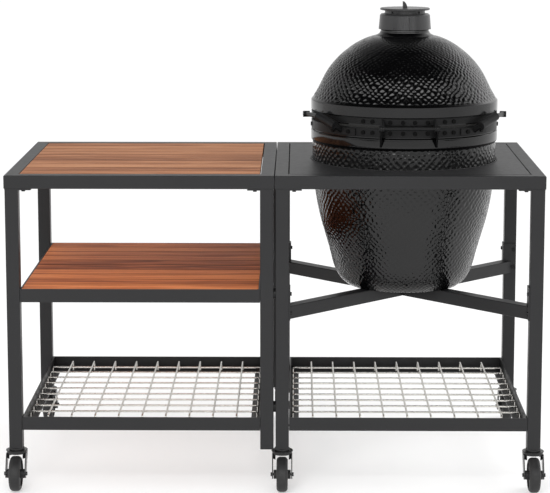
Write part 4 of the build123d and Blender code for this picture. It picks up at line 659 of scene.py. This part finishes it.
# %% Skins of base and dome
MM = 0.001
BASE_SMOOTH, BASE_FADE = DECK + 0.058, 0.012         # the base's dents end here, fading out just below
DOME_SMOOTH, DOME_FADE = DECK + 0.1845, 0.006        # the dome's dents begin here, fading in just above
NECK_SMOOTH, NECK_FADE = 0.074, 0.012                # and end at this radius, fading out before it
DRAFT_LOW, DRAFT_HIGH = DECK - 0.326, DECK - 0.264   # window for the draft
DRAFT_HALF, DRAFT_R = 0.056, 0.21                    # half its width, and the base's radius there
COVE_FOOT, COVE_BEND, COVE_TOP = 92, (73.0, 369.5), (70.5, 386.2)    # radius of its foot, then two points


def from_deck(points):
    """Radius and height above the deck in millimetres, made radius and height above the floor in metres."""
    return np.asarray(points) * MM + (0, DECK)


base_wall = curve_through([(165, -376), (184, -360), (217, -280), (246, -178), (262, -97), (271, 0)], 120)
base_rise = np.stack([np.full(16, 271.0), np.linspace(3, 52, 16)], axis=1)
base_lip = np.array([(271.4, 56), (273.0, 58.4), (275.6, 60.6), (276.7, 63.4), (277.0, 66.5), (277.0, 75),
                     (277.0, 85.5), (276.6, 88.2), (275.0, 90.2), (272.4, 91.2)])
base_line = from_deck(np.concatenate([base_wall, base_rise, base_lip]))
base_dented = np.clip((BASE_SMOOTH - base_line[:, 1]) / BASE_FADE, 0, 1)
draft_rows = np.searchsorted(base_line[:, 1], (DRAFT_LOW, DRAFT_HIGH))
draft_half = round(math.asin(DRAFT_HALF / DRAFT_R) / (2 * math.pi) * COLUMNS)
draft_columns = (COLUMNS // 2 - draft_half, COLUMNS // 2 + draft_half)
dimpled_skin("base_glaze", base_line, base_dented, "kitchen", (draft_rows, draft_columns))

dome_lip = np.array([(272.4, 148.9), (275.0, 149.9), (276.6, 151.8), (277.0, 154.5), (277.0, 166), (277.0, 175.5),
                     (276.7, 178.8), (275.4, 181.2), (273.2, 183.2)])
dome_wall = curve_through([(272, 183), (262, 198), (233, 254), (175, 321), (100, 363), (70, 370)], 128)[2:]
dome_wall = dome_wall[dome_wall[:, 0] > COVE_FOOT]
share = np.linspace(0, 1, 15)[1:, None]
neck_cove = (1 - share) ** 2 * dome_wall[-1] + 2 * share * (1 - share) * COVE_BEND + share ** 2 * COVE_TOP
dome_line = from_deck(np.concatenate([dome_lip, dome_wall, neck_cove]))
dome_dented = np.clip((dome_line[:, 1] - DOME_SMOOTH) / DOME_FADE, 0, 1)
dome_dented *= np.clip((dome_line[:, 0] - NECK_SMOOTH) / NECK_FADE, 0, 1)
dimpled_skin("dome_glaze", dome_line, dome_dented, "lid")

# %% [markdown]
# The thermometer sits in the dome on the cook's side. Its face is a thin printed ring on the floor of the case,
# under the needle. A profile carried round the dial's own axis gives the ring, and the print is worked out from
# each point's distance and turn from that axis: long and short strokes, and a coloured arc from green to red.

# %% Thermometer face
DIAL_AT = np.array([GRILL_X, 0.241666, 1.150089])
DIAL_RIGHT = np.array([-1.0, 0.0, 0.0])              # as the cook sees it
DIAL_UP = np.array([0.0, -0.445859, 0.895103])
DIAL_OUT = np.array([0.0, 0.895103, 0.445859])
FIRST_STROKE = math.radians(-135)                    # turn from upright, clockwise
STROKE_STEP = math.radians(25)
STEPS = 10               # from the first long stroke to the last
PRINT_R = 0.0224         # outer ends of the strokes
LONG_FROM, SHORT_FROM = 0.0178, 0.0202               # inner ends of the long and of the short strokes
ARC_FROM, ARC_TO = 0.0138, 0.0162                    # coloured arc
ARC_TONES = ((0.25, (0.04, 0.19, 0.06)), (0.6, (0.5, 0.27, 0.03)), (0.85, (0.42, 0.03, 0.02)))


def dial_print():
    """Cream face with black strokes and an arc that runs from green to red."""
    face = Finish("dial_print", Specular_IOR_Level=0.3)
    x, y, z = face.axes()
    at_x, at_y, at_z = DIAL_AT.tolist()
    _, up_y, up_z = DIAL_UP.tolist()
    across = at_x - x
    up = (y - at_y) * up_y + (z - at_z) * up_z
    far = (across * across + up * up).math("SQRT")
    step = (across.math("ARCTAN2", up) - FIRST_STROKE) / STROKE_STEP
    inside = step.math("GREATER_THAN", -0.1) * step.math("LESS_THAN", STEPS + 0.1)

    def strokes(count, width, low):
        """1 on so many strokes for each long one, from a radius out to the rim of the print."""
        turn = step * count
        on = (turn - turn.math("ROUND")).math("ABSOLUTE").math("LESS_THAN", width)
        return on * far.math("GREATER_THAN", low) * far.math("LESS_THAN", PRINT_R) * inside

    ink = strokes(1.0, 0.05, LONG_FROM).math("MAXIMUM", strokes(5.0, 0.13, SHORT_FROM))
    arc = far.math("GREATER_THAN", ARC_FROM) * far.math("LESS_THAN", ARC_TO) * inside
    warm = face.ramp(step * (1 / STEPS), *ARC_TONES)
    paper = face.mix(face.noise(240.0), (0.68, 0.66, 0.6), (0.76, 0.74, 0.69))
    colour = face.mix(ink, face.mix(arc, paper, warm), (0.012, 0.012, 0.012))
    return face.paint(Base_Color=colour, Roughness=face.between(face.noise(90.0), 0.42, 0.55))


def turned_ring(name, profile, centre, axes, columns, material, body):
    """Closed profile of radius and height carried once round the last of three axes through a centre."""
    right, up, out = np.asarray(axes)
    angle = 2 * math.pi * np.arange(columns) / columns
    spoke = np.cos(angle)[:, None] * right + np.sin(angle)[:, None] * up
    points = centre + profile[:, None, 0:1] * spoke[None] + profile[:, None, 1:2] * out
    quads = grid_quads(len(profile) + 1, columns) % (len(profile) * columns)
    return add_piece(name, points.reshape(-1, 3), quads.tolist(), material, body, smooth=False)


FACE_COLUMNS = 96
face_profile = np.array([(3.6, 2.0), (24.0, 2.0), (24.2, 2.2), (24.2, 2.6), (24.0, 2.8), (3.8, 2.8),
                         (3.6, 2.6)]) * MM
dial_face = turned_ring("dial_face", face_profile, DIAL_AT, (DIAL_RIGHT, DIAL_UP, DIAL_OUT), FACE_COLUMNS,
                        dial_print().material, "lid")
print("dial face:", len(dial_face.data.polygons), "faces")

# %% [markdown]
# The deck's round hole has a rubber edging, which keeps the sheet's edge off the ceramic. It is another profile
# carried round an axis, this time the grill's own, and it takes the tyres' rubber.

# %% Edging of the deck's hole
EDGING_COLUMNS = 144
edging_profile = np.array([(273.5, -4.2), (278.8, -4.2), (279.2, -3.8), (279.2, 0.8), (278.8, 1.2), (274.0, 1.2),
                           (273.5, 0.7)]) * MM
edging = turned_ring("deck_hole_edging", edging_profile, np.array([GRILL_X, 0.0, DECK]), np.eye(3), EDGING_COLUMNS,
                     FINISHES["castor_rubber"], "kitchen")
print("edging:", len(edging.data.polygons), "faces")

# %% [markdown]
# The camera stands about six metres away, at head height, and looks slightly down. A long lens keeps the
# uprights almost parallel, as in the picture, and a small vertical shift does part of the rest.

# %% Camera
PICTURE_WIDTH = 550.0    # pixels
FOCAL_PIXELS = 2015.0    # focal length in the same pixels
SENSOR = 36.0            # millimetres
CAMERA_AT = (0.063, -5.980, 1.718)
LOOK_DOWN, LOOK_LEFT = 8.35, 0.63                    # degrees from straight ahead
SHIFT = -0.118           # of the picture's width
SIGHT = 200.0            # metres

camera_data = bpy.data.cameras.new("camera")
camera_data.sensor_width = SENSOR
camera_data.lens = FOCAL_PIXELS * SENSOR / PICTURE_WIDTH
camera_data.shift_y = SHIFT
camera_data.clip_end = SIGHT
camera = bpy.data.objects.new("camera", camera_data)
camera.location = CAMERA_AT
camera.rotation_euler = (math.radians(90 - LOOK_DOWN), 0.0, math.radians(LOOK_LEFT))
bpy.context.scene.collection.objects.link(camera)
bpy.context.scene.camera = camera
print("lens:", round(camera_data.lens, 1), "mm")

# %% [markdown]
# A white studio: a pale floor that runs out of sight, white walls all round, and a dark ceiling. The glaze is a
# mirror, so the room matters more than the lamps. The walls make the pale flanks of the egg, two dark slots in
# them make the streaks down its base, and the dark ceiling makes the black on top of its dome. A bright strip
# along the top of the wall behind the viewer and a small panel over it sparkle in the dimples, and a panel at the
# right rear lights the dome's right flank. Two soft lamps light the wood from above.

# %% Floor, room and lamps
FLOOR_REACH = 90.0       # metres to each side
ROOM_LIGHT = 1.12        # the room's light on matt surfaces, and behind the scene
WALL_LIGHT, RIGHT_GAIN = 0.86, 0.22                  # the walls in a mirror, and how much the right is brighter
SLOT_DARK, CEILING_DARK = 0.9, 0.985                 # shares of the light that are missing there
REAR_GLOW = 0.36         # share given back to the ceiling's rear
STRIP_LIGHT, PANEL_LIGHT, FLANK_LIGHT = 5.0, 0.6, 0.9
SLOT_SOFT = 1.6          # a slot fades out at so many times its half width
# Each lamp: name, place, what it aims at, diameter in metres, power in watts
LAMPS = (("lamp_left", (-0.8, -3.4, 3.2), (-0.3, 0.0, 0.7), 2.2, 85.0),
         ("lamp_right", (2.6, 0.6, 3.4), (0.2, 0.0, 0.7), 2.0, 40.0))


def floor_finish():
    """Pale matt floor that gives off a little light of its own."""
    pale = Finish("pale_floor", Specular_IOR_Level=0.1, Emission_Color=(1, 1, 1, 1), Emission_Strength=0.42)
    pale.paint(Base_Color=pale.mix(pale.noise(0.7, 2.0), (0.54, 0.54, 0.54), (0.56, 0.56, 0.56)))
    return pale.paint(Roughness=pale.between(pale.noise(3.0), 0.85, 0.95))


def add_floor(reach):
    """Flat square about the origin."""
    corner = np.array([(-1, -1, 0), (1, -1, 0), (1, 1, 0), (-1, 1, 0)], dtype=float) * (reach, reach, 1)
    mesh = bpy.data.meshes.new("floor")
    mesh.from_pydata(corner.tolist(), [], [[0, 1, 2, 3]])
    floor = bpy.data.objects.new("floor", mesh)
    bpy.context.scene.collection.objects.link(floor)
    mesh.materials.append(floor_finish().material)


def add_room():
    """World light by direction, in mirrors; other surfaces get an even white."""
    world = bpy.data.worlds.new("room")
    bpy.context.scene.world = world
    world.use_nodes = True
    room = Finish.__new__(Finish)
    room.tree = world.node_tree
    backing = room.tree.nodes["Background"]
    way = Wire(room, room.tree.nodes.new("ShaderNodeTexCoord").outputs["Generated"])
    x, y, z = room.axes(way)
    turn = x.math("ARCTAN2", y * -1.0)

    def slot(middle, half):
        """1 in an upright slot at so many degrees from straight behind the viewer, towards +X, with soft edges."""
        off = (turn - math.radians(middle)).math("ABSOLUTE") / math.radians(half)
        return (SLOT_SOFT - off).fade(0.0, 1.0)

    ceiling = z.fade(0.46, 0.10)
    dark = (slot(-46, 9) + slot(57, 10)).math("MINIMUM", 1.0)
    strip = z.ridge(0.43, 0.22) * slot(0, 60)
    panel = z.ridge(0.77, 0.10) * slot(0, 12)
    flank = z.ridge(0.45, 0.50) * slot(122, 25)
    behind = y.fade(0.28, 0.25)
    overhead = z.fade(0.88, 0.07)
    shade = ceiling * (CEILING_DARK - behind * (1 - overhead) * REAR_GLOW)
    walls = (1 - dark * SLOT_DARK) * (1 - shade) * (x * RIGHT_GAIN + WALL_LIGHT)
    glow = strip * STRIP_LIGHT + panel * PANEL_LIGHT + flank * FLANK_LIGHT
    mirrored = room.node("LightPath", None, None, out=3)
    light = mirrored * (walls + glow) + (1 - mirrored) * ROOM_LIGHT
    room.plug(backing.inputs["Color"], light)
    room.plug(backing.inputs["Strength"], 1.0)


def add_lamp(name, place, aim, size, power):
    """Round lamp that lights the scene but doesn't show in mirrors."""
    lamp = bpy.data.lights.new(name, "AREA")
    lamp.shape = "DISK"
    lamp.size = size
    lamp.energy = power
    holder = bpy.data.objects.new(name, lamp)
    holder.location = place
    way = np.array(aim) - np.array(place)
    holder.rotation_euler = (math.acos(-way[2] / np.linalg.norm(way)), 0.0, math.atan2(way[0], -way[1]) + math.pi)
    holder.visible_glossy = False
    bpy.context.scene.collection.objects.link(holder)


add_floor(FLOOR_REACH)
add_room()
for lamp in LAMPS:
    add_lamp(*lamp)
bpy.context.scene.view_settings.view_transform = "Standard"
print("stage: floor, room and", len(LAMPS), "lamps")
